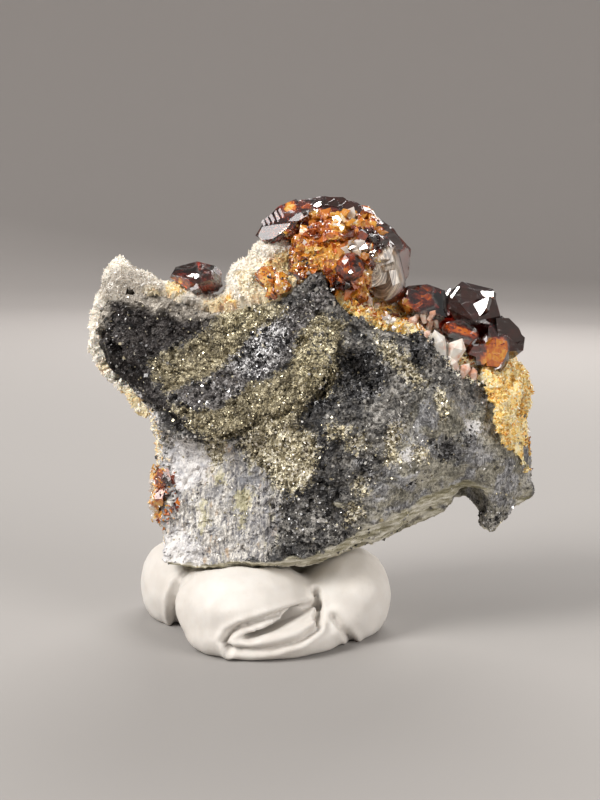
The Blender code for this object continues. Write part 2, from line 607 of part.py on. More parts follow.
def main():
    clear_scene()
    rock_material = make_material("banded_sulphide_rock", (0.10, 0.10, 0.09), 0.45, metallic=0.3)
    quartz_material = make_material("white_quartz", (0.78, 0.74, 0.66), 0.35)
    stain_material = make_material("iron_stained_quartz", (0.72, 0.45, 0.16), 0.4)
    amber_material = make_material("red_brown_sphalerite", (0.30, 0.06, 0.01), 0.06,
                                   transmission=1.0, ior=2.37)
    putty_material = make_material("white_putty", (0.82, 0.79, 0.74), 0.75)

    rock = build_rock()
    rock_cutter = swell(rock, "rock_cutter", GAP)
    druse = build_druse(rock, rock_cutter)
    stain = build_stain(rock, rock_cutter)
    putty = build_putty(rock_cutter)
    cutters = [rock_cutter, swell(druse, "druse_cutter", GAP), swell(stain, "stain_cutter", GAP)]

    clusters = []
    named = [("sphalerite_top_cluster", TOP_PLATES, TOP_CRYSTALS + rubble()),
             ("sphalerite_right_cluster", RIGHT_PLATES, RIGHT_CRYSTALS),
             ("sphalerite_left_crystal", [], LEFT_CRYSTALS),
             ("sphalerite_small_cluster", [], SMALL_CRYSTALS),
             ("sphalerite_edge_cluster", [], EDGE_CRYSTALS)]
    named += [("sphalerite_back_cluster_%d" % (number + 1), [], crystals)
              for number, crystals in enumerate(BACK_CLUSTERS)]
    for name, plates, crystals in named:
        cluster = build_cluster(name, plates, crystals, cutters)
        cutters.append(swell(cluster, name + "_cutter", GAP))
        clusters.append(cluster)

    remove(*cutters)
    pieces = [(rock, rock_material), (druse, quartz_material), (stain, stain_material),
              (putty, putty_material)]
    pieces += [(cluster, amber_material) for cluster in clusters]
    finish(pieces)


main()
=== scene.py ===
import math
import random

import bmesh
import bpy
import numpy as np
from mathutils import Matrix, Vector, noise
from mathutils.bvhtree import BVHTree


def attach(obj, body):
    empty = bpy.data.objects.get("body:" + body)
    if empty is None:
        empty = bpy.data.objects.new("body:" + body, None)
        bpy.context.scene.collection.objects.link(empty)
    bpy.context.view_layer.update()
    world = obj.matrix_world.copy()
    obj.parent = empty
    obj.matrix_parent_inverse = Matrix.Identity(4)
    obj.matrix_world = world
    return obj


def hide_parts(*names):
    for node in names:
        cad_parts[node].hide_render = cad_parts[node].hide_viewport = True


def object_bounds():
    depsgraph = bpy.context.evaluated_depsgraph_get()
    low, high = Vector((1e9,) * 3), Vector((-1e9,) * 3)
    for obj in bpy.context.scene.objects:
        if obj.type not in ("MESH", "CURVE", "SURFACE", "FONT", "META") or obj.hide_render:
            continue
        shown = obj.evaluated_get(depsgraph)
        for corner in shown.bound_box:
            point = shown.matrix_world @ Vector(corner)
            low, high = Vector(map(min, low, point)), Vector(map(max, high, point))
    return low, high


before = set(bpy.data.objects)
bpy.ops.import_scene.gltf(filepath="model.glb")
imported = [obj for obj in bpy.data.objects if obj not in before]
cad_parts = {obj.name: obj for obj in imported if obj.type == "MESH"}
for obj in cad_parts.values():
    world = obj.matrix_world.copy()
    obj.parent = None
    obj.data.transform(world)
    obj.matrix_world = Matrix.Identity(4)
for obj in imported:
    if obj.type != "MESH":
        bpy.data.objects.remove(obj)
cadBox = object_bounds()
mm = 0.001


def pointsOf(piece, what="co"):
    values = np.empty(len(piece.data.vertices) * 3, np.float32)
    piece.data.vertices.foreach_get(what, values)
    return values.reshape(-1, 3).astype(float)


def surfaceOf(piece):
    return pointsOf(piece), pointsOf(piece, "normal")


def movePoints(piece, points):
    piece.data.vertices.foreach_set("co", points.astype(np.float32).ravel())
    piece.data.update()


def paint(piece, name, values):
    # Stores a layer with a value for each point, or one value for all of them.
    mesh = piece.data
    layer = mesh.attributes.get(name) or mesh.attributes.new(name, "FLOAT", "POINT")
    layer.data.foreach_set("value", np.full(len(mesh.vertices), values, np.float32))


def painted(piece, name):
    values = np.empty(len(piece.data.vertices), np.float32)
    piece.data.attributes[name].data.foreach_get("value", values)
    return values.astype(float)


def bake(piece):
    graph = bpy.context.evaluated_depsgraph_get()
    mesh = bpy.data.meshes.new_from_object(
        piece.evaluated_get(graph), preserve_all_data_layers=True, depsgraph=graph)
    piece.modifiers.clear()
    piece.data = mesh
    return piece


def changed(piece, kind, **settings):
    # Applies one modifier.
    step = piece.modifiers.new(kind.title(), kind)
    for name, value in settings.items():
        setattr(step, name, value)
    return bake(piece)


def addPiece(name, mesh):
    piece = bpy.data.objects.new(name, mesh)
    bpy.context.scene.collection.objects.link(piece)
    return piece


def meshFrom(bm, name):
    mesh = bpy.data.meshes.new(name)
    bm.to_mesh(mesh)
    bm.free()
    return mesh


def pieceFrom(bm, name):
    # A new piece with its faces turned outwards.
    bmesh.ops.recalc_face_normals(bm, faces=bm.faces[:])
    return addPiece(name, meshFrom(bm, name))


def startFrom(node, name):
    # A working copy of a solid, with its loose triangles joined.
    bm = bmesh.new()
    bm.from_mesh(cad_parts[node].data)
    bmesh.ops.remove_doubles(bm, verts=bm.verts[:], dist=0.002 * mm)
    mesh = meshFrom(bm, name)
    if "custom_normal" in mesh.attributes:
        mesh.attributes.remove(mesh.attributes["custom_normal"])
    return addPiece(name, mesh)


def softCopy(node, name, settings):
    # A copy of a solid with points close enough together for relief, and with softened corners.
    piece = changed(startFrom(node, name), "REMESH", mode="VOXEL", voxel_size=settings["voxel"] * mm)
    return changed(piece, "SMOOTH", iterations=settings["smoothing"], factor=0.5)


def refine(piece, longest, finest=None, outline=None, rounds=9, margin=4.0):
    # Splits long edges, and shorter ones inside the outline, so that layers and chips have points to act on.
    bm = bmesh.new()
    bm.from_mesh(piece.data)
    bmesh.ops.triangulate(bm, faces=bm.faces[:])
    for turn in range(rounds):
        limits = np.full(len(bm.verts), longest)
        bm.verts.ensure_lookup_table()
        if outline:
            spots = inPicture(np.array([vert.co[:] for vert in bm.verts]))
            limits[depthInside(spots, outline) > -margin] = finest
        long = [edge for edge in bm.edges
                if edge.calc_length() > mm * max(limits[edge.verts[0].index], limits[edge.verts[1].index])]
        if not long:
            break
        bmesh.ops.subdivide_edges(bm, edges=long, cuts=1)
        bmesh.ops.triangulate(bm, faces=[face for face in bm.faces if len(face.verts) > 3])
        bm.verts.index_update()
    piece.data = meshFrom(bm, piece.data.name)
    return piece


def dress(piece, finish, slot, *nodes):
    # The last step of every piece: inside the box, finish and the solids that it stands in place of. The slot
    # is not used.
    movePoints(piece, np.clip(pointsOf(piece), np.array(cadBox[0]), np.array(cadBox[1])))
    piece.data.validate()
    piece.data.materials.clear()
    piece.data.materials.append(finish)
    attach(piece, "root")
    if nodes:
        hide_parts(*nodes)
    print("made", piece.name, "with", len(piece.data.polygons), "faces")
    return piece


def treeOf(piece):
    return BVHTree.FromObject(piece, bpy.context.evaluated_depsgraph_get())


# The camera, and where a point of the specimen lies in the picture.

camera = {"place": (-2.524, -174.708, 58.95), "down": 8.64, "roll": 1.6, "lens": 57.0, "film": 36.0,
          "across": 600, "tall": 800, "pointSize": 0.136}
pictureReach = camera["lens"] / camera["film"] * camera["tall"]


def cameraTurn():
    tip = Matrix.Rotation(math.radians(90.0 - camera["down"]), 3, "X")
    return tip @ Matrix.Rotation(math.radians(camera["roll"]), 3, "Z")


def makeCamera():
    data = bpy.data.cameras.new("camera")
    data.lens = camera["lens"]
    data.sensor_width = camera["film"]
    data.clip_start = 0.005
    eye = bpy.data.objects.new("camera", data)
    bpy.context.scene.collection.objects.link(eye)
    eye.matrix_world = Matrix.Translation(Vector(camera["place"]) * mm) @ cameraTurn().to_4x4()
    bpy.context.scene.camera = eye


def inPicture(points):
    seen = (points / mm - np.array(camera["place"])) @ np.array(cameraTurn())
    return np.stack([camera["across"] / 2 - pictureReach * seen[:, 0] / seen[:, 2],
                     camera["tall"] / 2 + pictureReach * seen[:, 1] / seen[:, 2]], axis=1)


def sightLine(x, y):
    across, up = (x - camera["across"] / 2) / pictureReach, (camera["tall"] / 2 - y) / pictureReach
    return Vector(camera["place"]) * mm, (cameraTurn() @ Vector((across, up, -1.0))).normalized()


def seenOn(covers, x, y):
    # The nearest point of the surfaces that shows at a place in the picture.
    eye, look = sightLine(x, y)
    hits = [cover.ray_cast(eye, look) for cover in covers]
    hits = [(distance, spot) for spot, normal, face, distance in hits if spot]
    return min(hits, key=lambda hit: hit[0])[1]


def placesOf(line):
    # The picture places in a text such as "151,362 168,350".
    return np.array([place.split(",") for place in line.split()], float)


def depthInside(spots, outline):
    # How far inside the outline each spot is, in picture points, and below zero outside it.
    corners = placesOf(outline)
    corners = np.vstack([corners, corners[:1]])
    inside = np.zeros(len(spots), bool)
    for start, end in zip(corners[:-1], corners[1:]):
        crossing = (start[1] > spots[:, 1]) != (end[1] > spots[:, 1])
        run, rise = end - start
        inside ^= crossing & (spots[:, 0] < start[0] + (spots[:, 1] - start[1]) / (rise or 1e-9) * run)
    nearest = gapToLine(spots, corners)
    return np.where(inside, nearest, -nearest)


def inZone(spots, outlines, soft):
    # 1 well inside any of the outlines and 0 well outside all of them.
    depth = np.max([depthInside(spots, outline) for outline in outlines.split("/")], axis=0)
    return ease(0.5 + depth / (2.0 * soft))


def toned(tone, spots, zones, soft=2.0, share=1.0):
    # Draws the tone towards that of each zone inside its outline.
    for strength, outline in zones:
        here = inZone(spots, outline, soft) * share
        tone = tone * (1.0 - here) + strength * here
    return tone


def gapToLine(spots, places):
    # How far each spot is from a line through the places.
    nearest = np.full(len(spots), 1e9)
    for start, end in zip(places[:-1], places[1:]):
        side = end - start
        along = np.clip(((spots - start) @ side) / (side @ side), 0.0, 1.0)
        nearest = np.minimum(nearest, np.hypot(*(spots - start - along[:, None] * side).T))
    return nearest


def blotches(points, size, seed=0.0):
    # Soft noise between -1 and 1, with features of the given size.
    shift = Vector((seed, seed * 1.7, seed * 2.3))
    return np.array([noise.noise(Vector(point) / (size * mm) + shift) for point in points])


def ease(values):
    t = np.clip(values, 0.0, 1.0)
    return t * t * (3.0 - 2.0 * t)


def facing(normals, reach=0.8, slope=1.4):
    # 1 where a surface faces the front, falling to 0 as it turns to the back.
    return ease(reach - normals[:, 1] * slope)


def wandering(points, amount):
    # Picture places of the points, pushed about a little, so that no zone has a drawn edge.
    push = np.stack([blotches(points, 1.6, 3.1) + 0.6 * blotches(points, 0.6, 8.0),
                     blotches(points, 1.6, 5.7) + 0.6 * blotches(points, 0.6, 9.4)], axis=1)
    return inPicture(points) + amount * push


def shapeByPicture(piece, creases=(), swells=(), lipAt=2.2, lipWidth=1.1):
    # Cuts creases (line, depth, half width, lip) and raises swells (x, y, half width, half height, rise).
    points, normals = surfaceOf(piece)
    spots = inPicture(points)
    move = np.zeros(len(points))
    for line, depth, width, lip in creases:
        away = gapToLine(spots, placesOf(line)) / width
        move += lip * np.exp(-((away - lipAt) / lipWidth) ** 2) - depth * np.exp(-away ** 2)
    for x, y, across, tall, rise in swells:
        away = np.hypot((spots[:, 0] - x) / across, (spots[:, 1] - y) / tall)
        move += rise * ease(1.25 - away)
    move *= facing(normals, 0.2, 1.6)
    movePoints(piece, points + normals * (move * mm)[:, None])


# Nodes for materials and for geometry.


def added(tree, kind, **options):
    node = tree.nodes.new(kind)
    for name, option in options.items():
        setattr(node, name, option)
    return node


def fill(node, values):
    # Sets a node's sockets. A value that is another node's output is linked.
    for socket, value in values.items():
        if isinstance(value, bpy.types.NodeSocket):
            node.id_data.links.new(value, node.inputs[socket])
        else:
            node.inputs[socket].default_value = value
    return node


def put(kind, values, **options):
    # Adds a node to the tree that its first linked value comes from.
    tree = next(value.id_data for value in values.values() if isinstance(value, bpy.types.NodeSocket))
    return fill(added(tree, kind, **options), values)


def calc(operation, first, second=0.0):
    return put("ShaderNodeMath", {0: first, 1: second}, operation=operation).outputs[0]


def times(first, second):
    return calc("MULTIPLY", first, second)


def largest(first, second):
    return calc("MAXIMUM", first, second)


def weighed(*parts, plus=None):
    # Adds up the values, each times its weight, and a fixed number.
    total = None
    for value, weight in parts:
        share = times(value, weight)
        total = share if total is None else calc("ADD", total, share)
    return total if plus is None else calc("ADD", total, plus)


def vectorCalc(operation, first, second=(0.0, 0.0, 0.0)):
    node = put("ShaderNodeVectorMath", {0: first, 1: second}, operation=operation)
    return node.outputs["Value" if operation in ("DOT_PRODUCT", "LENGTH") else "Vector"]


def centred(colour):
    return vectorCalc("SUBTRACT", colour, (0.5, 0.5, 0.5))


def scaled(vector, factor):
    return put("ShaderNodeVectorMath", {0: vector, "Scale": factor}, operation="SCALE").outputs[0]


def blend(factor, first, second):
    return put("ShaderNodeMix", {0: factor, 6: first, 7: second}, data_type="RGBA").outputs[2]


def ramp(factor, stops, kind="LINEAR"):
    # Colours along a value. A stop is its place, red, green and blue.
    node = put("ShaderNodeValToRGB", {0: factor})
    node.color_ramp.interpolation = kind
    while len(node.color_ramp.elements) < len(stops):
        node.color_ramp.elements.new(0.5)
    for element, (place, *colour) in zip(node.color_ramp.elements, stops):
        element.position = place
        element.color = (*colour, 1.0)
    return node.outputs[0]


def level(factor, low, high, first=0.0, last=1.0):
    return put("ShaderNodeMapRange", {0: factor, 1: low, 2: high, 3: first, 4: last}).outputs[0]


def layer(name):
    return put("ShaderNodeAttribute", attribute_name=name).outputs["Fac"]


def noisy(place, scale, detail=4.0, roughness=0.6, distortion=0.0):
    return put("ShaderNodeTexNoise", {"Vector": place, "Scale": scale, "Detail": detail,
                                      "Roughness": roughness, "Distortion": distortion}).outputs[0]


def cells(place, scale):
    # A pattern of cells, as one colour for each cell, and the three numbers of that colour.
    colour = put("ShaderNodeTexVoronoi", {"Vector": place, "Scale": scale}).outputs["Color"]
    return colour, put("ShaderNodeSeparateColor", {0: colour}).outputs


def bumped(height, strength, distance, **others):
    values = {"Height": height, "Strength": strength, "Distance": distance, **others}
    return put("ShaderNodeBump", values).outputs[0]


def turned(place, scale, turn):
    angles = tuple(math.radians(angle) for angle in turn)
    return put("ShaderNodeMapping", {"Vector": place, "Rotation": angles, "Scale": scale}).outputs[0]


def newFinish(name):
    # A material, its shader, object coordinates in millimetres and a function that reads a painted layer.
    finish = bpy.data.materials.new(name)
    finish.use_nodes = True
    tree = finish.node_tree

    def layer(label):
        return added(tree, "ShaderNodeAttribute", attribute_name=label).outputs["Fac"]

    place = scaled(added(tree, "ShaderNodeTexCoord").outputs["Object"], 1000.0)
    return finish, tree.nodes["Principled BSDF"], place, layer


def geometryTree(name, inputs):
    # A new tree, with its inputs listed by kind.
    tree = bpy.data.node_groups.new(name, "GeometryNodeTree")
    for kind, labels in [("Geometry", ["Geometry"]), *inputs.items()]:
        for label in labels:
            tree.interface.new_socket(label, in_out="INPUT", socket_type="NodeSocket" + kind)
    tree.interface.new_socket("Geometry", in_out="OUTPUT", socket_type="NodeSocketGeometry")
    return tree, added(tree, "NodeGroupInput").outputs


def endTree(geometry, finish):
    done = put("GeometryNodeSetMaterial", {"Geometry": geometry, "Material": finish})
    put("NodeGroupOutput", {0: done.outputs[0]})


def runTree(piece, tree, settings):
    step = piece.modifiers.new(tree.name, "NODES")
    step.node_group = tree
    for item in tree.interface.items_tree:
        if item.in_out == "INPUT" and item.name in settings:
            step[item.identifier] = settings[item.name]
    return bake(piece)


def reliefTree():
    # Flat chips with steps between them, over soft swells. The calm layer keeps chips off.
    tree, given = geometryTree("relief", {
        "Float": ["Swell size", "Swell height", "Chip size", "Chip height", "Grain size", "Grain height"],
        "String": ["Calm"], "Material": ["Finish"]})
    place = scaled(added(tree, "GeometryNodeInputPosition").outputs[0], 1000.0)
    normal = added(tree, "GeometryNodeInputNormal").outputs[0]

    def chips(size, height):
        at = scaled(place, calc("DIVIDE", 1.0, size))
        cell = put("ShaderNodeTexVoronoi", {"Vector": at, "Scale": 1.0})
        lean = centred(cell.outputs["Color"])
        away = vectorCalc("SUBTRACT", at, cell.outputs["Position"])
        slope = times(vectorCalc("DOT_PRODUCT", away, lean), 2.0)
        step = vectorCalc("DOT_PRODUCT", lean, (0.6, 0.6, 0.6))
        return times(calc("ADD", slope, step), height)

    at = scaled(place, calc("DIVIDE", 1.0, given["Swell size"]))
    swell = times(calc("SUBTRACT", noisy(at, 1.0, 3.0, 0.5), 0.5), given["Swell height"])
    rough = calc("ADD", chips(given["Chip size"], given["Chip height"]),
                 chips(given["Grain size"], given["Grain height"]))
    calm = put("GeometryNodeInputNamedAttribute", {"Name": given["Calm"]}, data_type="FLOAT").outputs[0]
    rough = times(rough, calc("SUBTRACT", 1.0, calm))
    move = scaled(normal, times(calc("ADD", swell, rough), mm))
    moved = put("GeometryNodeSetPosition", {"Geometry": given["Geometry"], "Offset": move})
    endTree(moved.outputs[0], given["Finish"])
    return tree


def reliefOf(settings, finish):
    values = {"Calm": "calm", "Finish": finish}
    for name in ("swell", "chip", "grain"):
        values[name.title() + " size"], values[name.title() + " height"] = settings[name]
    return values


def coatTree():
    # Small shapes on a surface, as close as its grow layer lets them, each with its own turn, size and tint.
    tree, given = geometryTree("coat", {
        "Float": ["Spacing", "Density", "Smallest", "Largest", "Lean", "Sink"], "Int": ["Seed"],
        "Collection": ["Shapes"], "Material": ["Finish"]})

    def chance(shift):
        seed = calc("ADD", given["Seed"], shift)
        return put("FunctionNodeRandomValue", {2: 0.0, 3: 1.0, "Seed": seed}, data_type="FLOAT").outputs[1]

    grow = added(tree, "GeometryNodeInputNamedAttribute", data_type="FLOAT")
    grow = fill(grow, {"Name": "grow"}).outputs[0]
    spread = put("GeometryNodeDistributePointsOnFaces", {
        "Mesh": given["Geometry"], "Distance Min": given["Spacing"], "Density Max": given["Density"],
        "Density Factor": grow, "Seed": given["Seed"]}, distribute_method="POISSON").outputs
    shapes = put("GeometryNodeCollectionInfo", {
        "Collection": given["Shapes"], "Separate Children": True, "Reset Children": True})
    back = times(given["Lean"], -1.0)
    least = put("ShaderNodeCombineXYZ", {0: back, 1: back})
    most = put("ShaderNodeCombineXYZ", {0: given["Lean"], 1: given["Lean"], 2: math.tau})
    lean = put("FunctionNodeRandomValue", {
        "Min": least.outputs[0], "Max": most.outputs[0], "Seed": given["Seed"]}, data_type="FLOAT_VECTOR")
    lean = put("FunctionNodeEulerToRotation", {0: lean.outputs["Value"]}).outputs[0]
    aim = put("FunctionNodeRotateRotation", {0: spread["Rotation"], 1: lean}, rotation_space="LOCAL")
    bulk = level(calc("POWER", chance(7.0), 1.8), 0.0, 1.0, given["Smallest"], given["Largest"])
    sunk = put("GeometryNodeSetPosition", {
        "Geometry": spread["Points"], "Offset": scaled(spread["Normal"], times(given["Sink"], -1.0))})
    placed = put("GeometryNodeInstanceOnPoints", {
        "Points": sunk.outputs[0], "Instance": shapes.outputs[0], "Pick Instance": True,
        "Rotation": aim.outputs[0], "Scale": bulk})
    tinted = put("GeometryNodeStoreNamedAttribute", {
        "Geometry": placed.outputs[0], "Name": "tint", "Value": chance(3.0)},
        data_type="FLOAT", domain="INSTANCE")
    real = put("GeometryNodeRealizeInstances", {"Geometry": tinted.outputs[0]})
    endTree(real.outputs[0], given["Finish"])
    return tree


def coatOf(settings, shapes, finish):
    values = {name.title(): settings[name] for name in ("density", "lean", "seed")}
    values.update({name.title(): settings[name] * mm for name in ("spacing", "smallest", "largest", "sink")})
    return {**values, "Shapes": shapes, "Finish": finish}


def growCoat(piece, settings, shapes, finish, slot):
    # Turns a copy of a piece, with its grow layer painted, into the coat that grows there.
    runTree(piece, coat, coatOf(settings, shapes, finish))
    piece.data.shade_flat()
    return dress(piece, finish, slot)


relief = reliefTree()
coat = coatTree()


def shapeSet(name, makers):
    # A collection of small shapes that the coat picks from. It is not linked to the scene.
    group = bpy.data.collections.new(name)
    for number, maker in enumerate(makers):
        bm = bmesh.new()
        maker(bm)
        bmesh.ops.recalc_face_normals(bm, faces=bm.faces[:])
        label = "%s%d" % (name, number)
        group.objects.link(bpy.data.objects.new(label, meshFrom(bm, label)))
    return group


def hullOf(bm, places):
    made = bmesh.ops.convex_hull(bm, input=[bm.verts.new(place) for place in places])
    bmesh.ops.delete(bm, geom=list(set(made["geom_interior"])), context="VERTS")


def quartzTip(sides, girth, seed):
    # A squat pyramid on a sunken foot, a unit tall, with slightly uneven sides.
    def maker(bm):
        chance = random.Random(seed)
        places = [Vector((chance.uniform(-0.1, 0.1), chance.uniform(-0.1, 0.1), 1.0))]
        for side in range(sides):
            turn = (side + chance.uniform(-0.15, 0.15)) * math.tau / sides
            reach = girth * chance.uniform(0.85, 1.1)
            places.append(Vector((reach * math.cos(turn), reach * math.sin(turn), -0.35)))
        hullOf(bm, places)
    return maker


def shard(seed, corners=9, flat=0.7):
    # A chip with flat faces and sharp corners, about a unit across.
    def maker(bm):
        chance = random.Random(seed)
        places = []
        for corner in range(corners):
            way = Vector([chance.gauss(0.0, 1.0) for axis in range(3)]).normalized()
            way.z *= flat
            places.append(way * chance.uniform(0.42, 0.55))
        hullOf(bm, places)
    return maker


def block(across, deep, tall):
    # A small brick with one corner cut away, as ore that breaks in cubes leaves.
    def maker(bm):
        places = [Vector((x * across, y * deep, z * tall)) for x in (-1, 1) for y in (-1, 1) for z in (-1, 1)]
        cut = places.pop()
        places += [cut - Vector((across, 0.0, 0.0)) * 0.7, cut - Vector((0.0, deep, 0.0)) * 0.7,
                   cut - Vector((0.0, 0.0, tall)) * 0.7]
        hullOf(bm, places)
    return maker


def closeGap(piece, cover, reach=0.75, bite=0.3):
    # Points that face the neighbour across the clearance move over to it and a little into it.
    # It gives back 1 for the points that stay outside, and for those next to them.
    places = pointsOf(piece)
    moved = np.zeros(len(places), bool)
    for index, place in enumerate(places):
        spot, normal, face, distance = cover.find_nearest(Vector(place))
        if distance < reach * mm:
            way = (spot - Vector(place)).normalized()
            places[index] = place + np.array(way) * (distance + bite * mm)
            moved[index] = True
    movePoints(piece, places)
    pairs = np.empty(len(piece.data.edges) * 2, np.int32)
    piece.data.edges.foreach_get("vertices", pairs)
    pairs = pairs.reshape(-1, 2)
    outside = ~moved
    outside[pairs[moved[pairs[:, 0]] != moved[pairs[:, 1]]].ravel()] = True
    return outside.astype(float)


# The rock, with its zones of different minerals on the broken front. Some zones also carry painted shade or
# painted glints.

rock = {
    "voxel": 0.275, "smoothing": 2,
    "swell": (3.2, 0.5), "chip": (1.7, 0.46), "grain": (0.6, 0.18),
    # How soft each zone's edge is, in picture points, and its outlines.
    "zones": {
        "pyrite": (8, "151,362 168,350 184,344 207,328 220,311 240,306 279,302 296,309 268,326 251,336 "
            "246,350 229,362 207,378 196,385 169,393 154,378 / 166,404 200,410 230,402 246,386 270,378 "
            "290,366 296,342 303,326 316,312 332,316 344,322 340,352 338,380 326,396 310,400 300,420 "
            "262,434 215,442 196,432 180,415"),
        "galena": (8, "169,392 198,384 218,371 234,358 250,337 264,326 284,312 298,300 306,284 314,266 "
            "326,280 334,300 318,312 301,328 294,337 290,353 279,367 262,376 246,384 229,399 207,409 "
            "190,406 173,403"),
        # In the glint zone the galena's grains are painted white: painted glints.
        "glint": (10, "236,366 244,350 252,334 268,320 288,322 284,344 276,362 250,378"),
        "bright": (10, "296,330 318,318 338,326 336,372 322,394 304,396 292,372 294,350 / 224,314 250,306 "
            "282,306 262,324 246,334 228,336"),
        "gold": (11, "240,446 257,428 270,418 296,426 310,432 320,447 315,467 309,484 296,493 278,488 "
            "270,478 260,466 248,458 / 376,338 384,342 395,343 402,354 414,366 430,380 415,388 404,373 "
            "396,366 385,362 379,352 / 207,442 214,438 224,447 223,462 216,470 210,460 / 326,427 338,424 "
            "350,430 346,437 330,436 / 351,436 362,432 368,442 360,452 350,448 / 384,440 392,424 400,426 "
            "402,440 398,456 388,464 383,452 / 437,392 444,390 448,404 447,422 440,420 438,406 / 356,480 "
            "366,480 369,494 358,496 / 347,506 359,506 360,522 347,522 / 414,448 426,448 426,460 414,460"),
        "dim": (14, "230,446 262,468 282,506 280,548 246,558 238,520 230,480"),
        "lime": (5, "232,494 246,490 251,500 246,512 234,512 / 216,474 226,472 226,484 218,486 / 200,498 "
            "206,496 208,530 201,532 / 240,516 246,516 244,532 239,530"),
        "pale": (13, "168,440 184,436 200,444 218,440 240,448 258,466 272,484 280,510 276,540 262,558 "
            "236,570 150,584 146,530 160,500 164,470"),
        "chalk": (9, "168,442 184,438 200,446 214,458 206,482 176,492 166,470 / 158,540 180,530 206,552 "
            "204,576 156,578 / 126,390 146,402 158,418 165,440 168,466 158,476 155,500 158,536 163,576 "
            "148,578 142,500 146,455 140,425 / 390,420 400,420 401,434 391,435 / 398,449 414,450 413,463 "
            "399,462 / 468,422 478,420 480,432 469,432"),
        # The black zone is dark mineral, except for its second outline. That one lies in the crease at the
        # ridge's foot and is painted shade.
        "black": (8, "334,352 352,348 384,356 388,378 374,400 356,404 340,392 334,372 / 318,384 338,376 "
            "336,396 318,414 304,416 300,402 / 408,330 422,322 434,330 436,352 424,366 408,356 / 318,436 "
            "331,434 334,449 320,451 / 436,441 454,440 457,462 440,463 / 460,434 472,433 474,446 462,447 / "
            "352,455 372,460 376,486 360,478"),
        # The upper left zone: dark rock, made darker still as painted shade on its facets that face down and
        # to the left.
        "dusk": (9, "92,300 130,296 200,306 222,312 206,330 182,344 152,360 152,380 168,396 182,416 200,440 "
            "150,408 112,388 90,352"),
        "satin": (14, "392,452 420,398 446,394 498,410 532,440 540,484 512,524 476,500 440,516 400,530 "
            "366,544 368,500"),
        "clear": (6, "92,286 106,280 138,282 160,288 172,298 200,306 236,306 222,316 190,320 166,312 "
            "134,304 112,300 102,330 92,332"),
        "sparks": (12, "270,494 318,488 340,500 350,520 336,544 290,552 268,530 / 404,470 422,470 420,487 "
            "405,487 / 482,508 504,500 514,512 500,532 482,530 / 100,316 130,312 128,334 102,336")},
    "creases": [
        ("140,402 160,412 185,430 200,443 215,441 240,432 262,424 290,411", 0.9, 4.0, 0.45),
        ("300,408 314,398 328,384 336,362 340,344", 1.2, 4.5, 0.3),
        ("300,416 310,409 320,402", 0.9, 3.0, 0.1),
        ("94,328 100,334 108,342 118,350", 1.3, 3.0, 0.2),
        ("97,330 102,333", 1.2, 4.0, 0.0),
        ("344,356 360,372 372,392", 0.9, 6.0, 0.3),
        ("334,440 342,462 338,490", 0.5, 5.0, 0.2),
        ("376,336 400,366 428,392", -0.35, 7.0, 0.0),
        ("240,470 262,486 276,512 272,548", 0.5, 6.0, 0.2),
        ("404,366 424,388 440,420 452,460", 0.35, 6.0, 0.2)],
    "swells": [
        (147, 288, 10, 9, 0.8), (422, 342, 11, 15, 0.9), (356, 320, 10, 8, 0.6), (429, 420, 12, 20, 0.45),
        (467, 441, 7, 8, 0.35), (308, 455, 16, 26, 0.35), (318, 352, 14, 34, 0.6), (240, 352, 26, 16, -0.4),
        (228, 410, 40, 9, 0.3), (362, 376, 18, 18, -0.9), (318, 400, 12, 12, -0.5), (282, 456, 24, 26, 0.4)],
}


# Colours of each mineral from dark to bright: brightness, red, green, blue.
rockColours = {
    "ground": [(0.32, 0.009, 0.009, 0.010), (0.44, 0.044, 0.042, 0.041), (0.54, 0.118, 0.112, 0.104),
               (0.64, 0.23, 0.22, 0.20), (0.76, 0.46, 0.44, 0.41)],
    # The upper left zone: dark rock with painted shade.
    "dusk": [(0.38, 0.005, 0.004, 0.004), (0.48, 0.016, 0.013, 0.013), (0.57, 0.047, 0.041, 0.039),
             (0.68, 0.115, 0.106, 0.10)],
    "satin": [(0.38, 0.045, 0.042, 0.033), (0.49, 0.150, 0.141, 0.108), (0.60, 0.40, 0.375, 0.30)],
    "slate": [(0.38, 0.036, 0.036, 0.039), (0.49, 0.140, 0.139, 0.143), (0.60, 0.42, 0.42, 0.43)],
    # Black: dark mineral, and also painted shade in one crease.
    "black": [(0.36, 0.013, 0.013, 0.014), (0.58, 0.082, 0.080, 0.083), (0.78, 0.32, 0.32, 0.33)],
    "clear": [(0.4, 0.15, 0.133, 0.115), (0.6, 0.50, 0.455, 0.39)],
    "pale": [(0.34, 0.060, 0.058, 0.062), (0.42, 0.20, 0.195, 0.21), (0.49, 0.40, 0.385, 0.365),
             (0.56, 0.66, 0.63, 0.58), (0.65, 0.93, 0.90, 0.85)],
    "chalk": [(0.40, 0.42, 0.42, 0.45), (0.54, 0.82, 0.80, 0.79)],
    "under": [(0.36, 0.17, 0.155, 0.08), (0.46, 0.38, 0.35, 0.24), (0.54, 0.60, 0.57, 0.46),
              (0.64, 0.82, 0.79, 0.70)],
    "brass": [(0.24, 0.045, 0.038, 0.026), (0.44, 0.155, 0.133, 0.088), (0.66, 0.36, 0.315, 0.205),
              (0.86, 0.80, 0.73, 0.53)],
    "shiny": [(0.28, 0.030, 0.026, 0.018), (0.44, 0.20, 0.175, 0.11), (0.62, 0.60, 0.53, 0.34),
              (0.80, 1.0, 0.94, 0.74)],
    "silver": [(0.26, 0.026, 0.023, 0.023), (0.50, 0.105, 0.095, 0.092), (0.70, 0.27, 0.255, 0.25),
               (0.90, 0.75, 0.74, 0.74)],
    # White: the galena of the glint zone, whose brightest grains are painted glints.
    "white": [(0.38, 0.018, 0.017, 0.020), (0.48, 0.11, 0.105, 0.11), (0.56, 0.70, 0.69, 0.70),
              (0.66, 1.0, 1.0, 1.0)],
    "sandy": [(0.28, 0.035, 0.027, 0.016), (0.42, 0.22, 0.19, 0.115), (0.58, 0.60, 0.54, 0.38),
              (0.76, 0.97, 0.94, 0.84)],
}


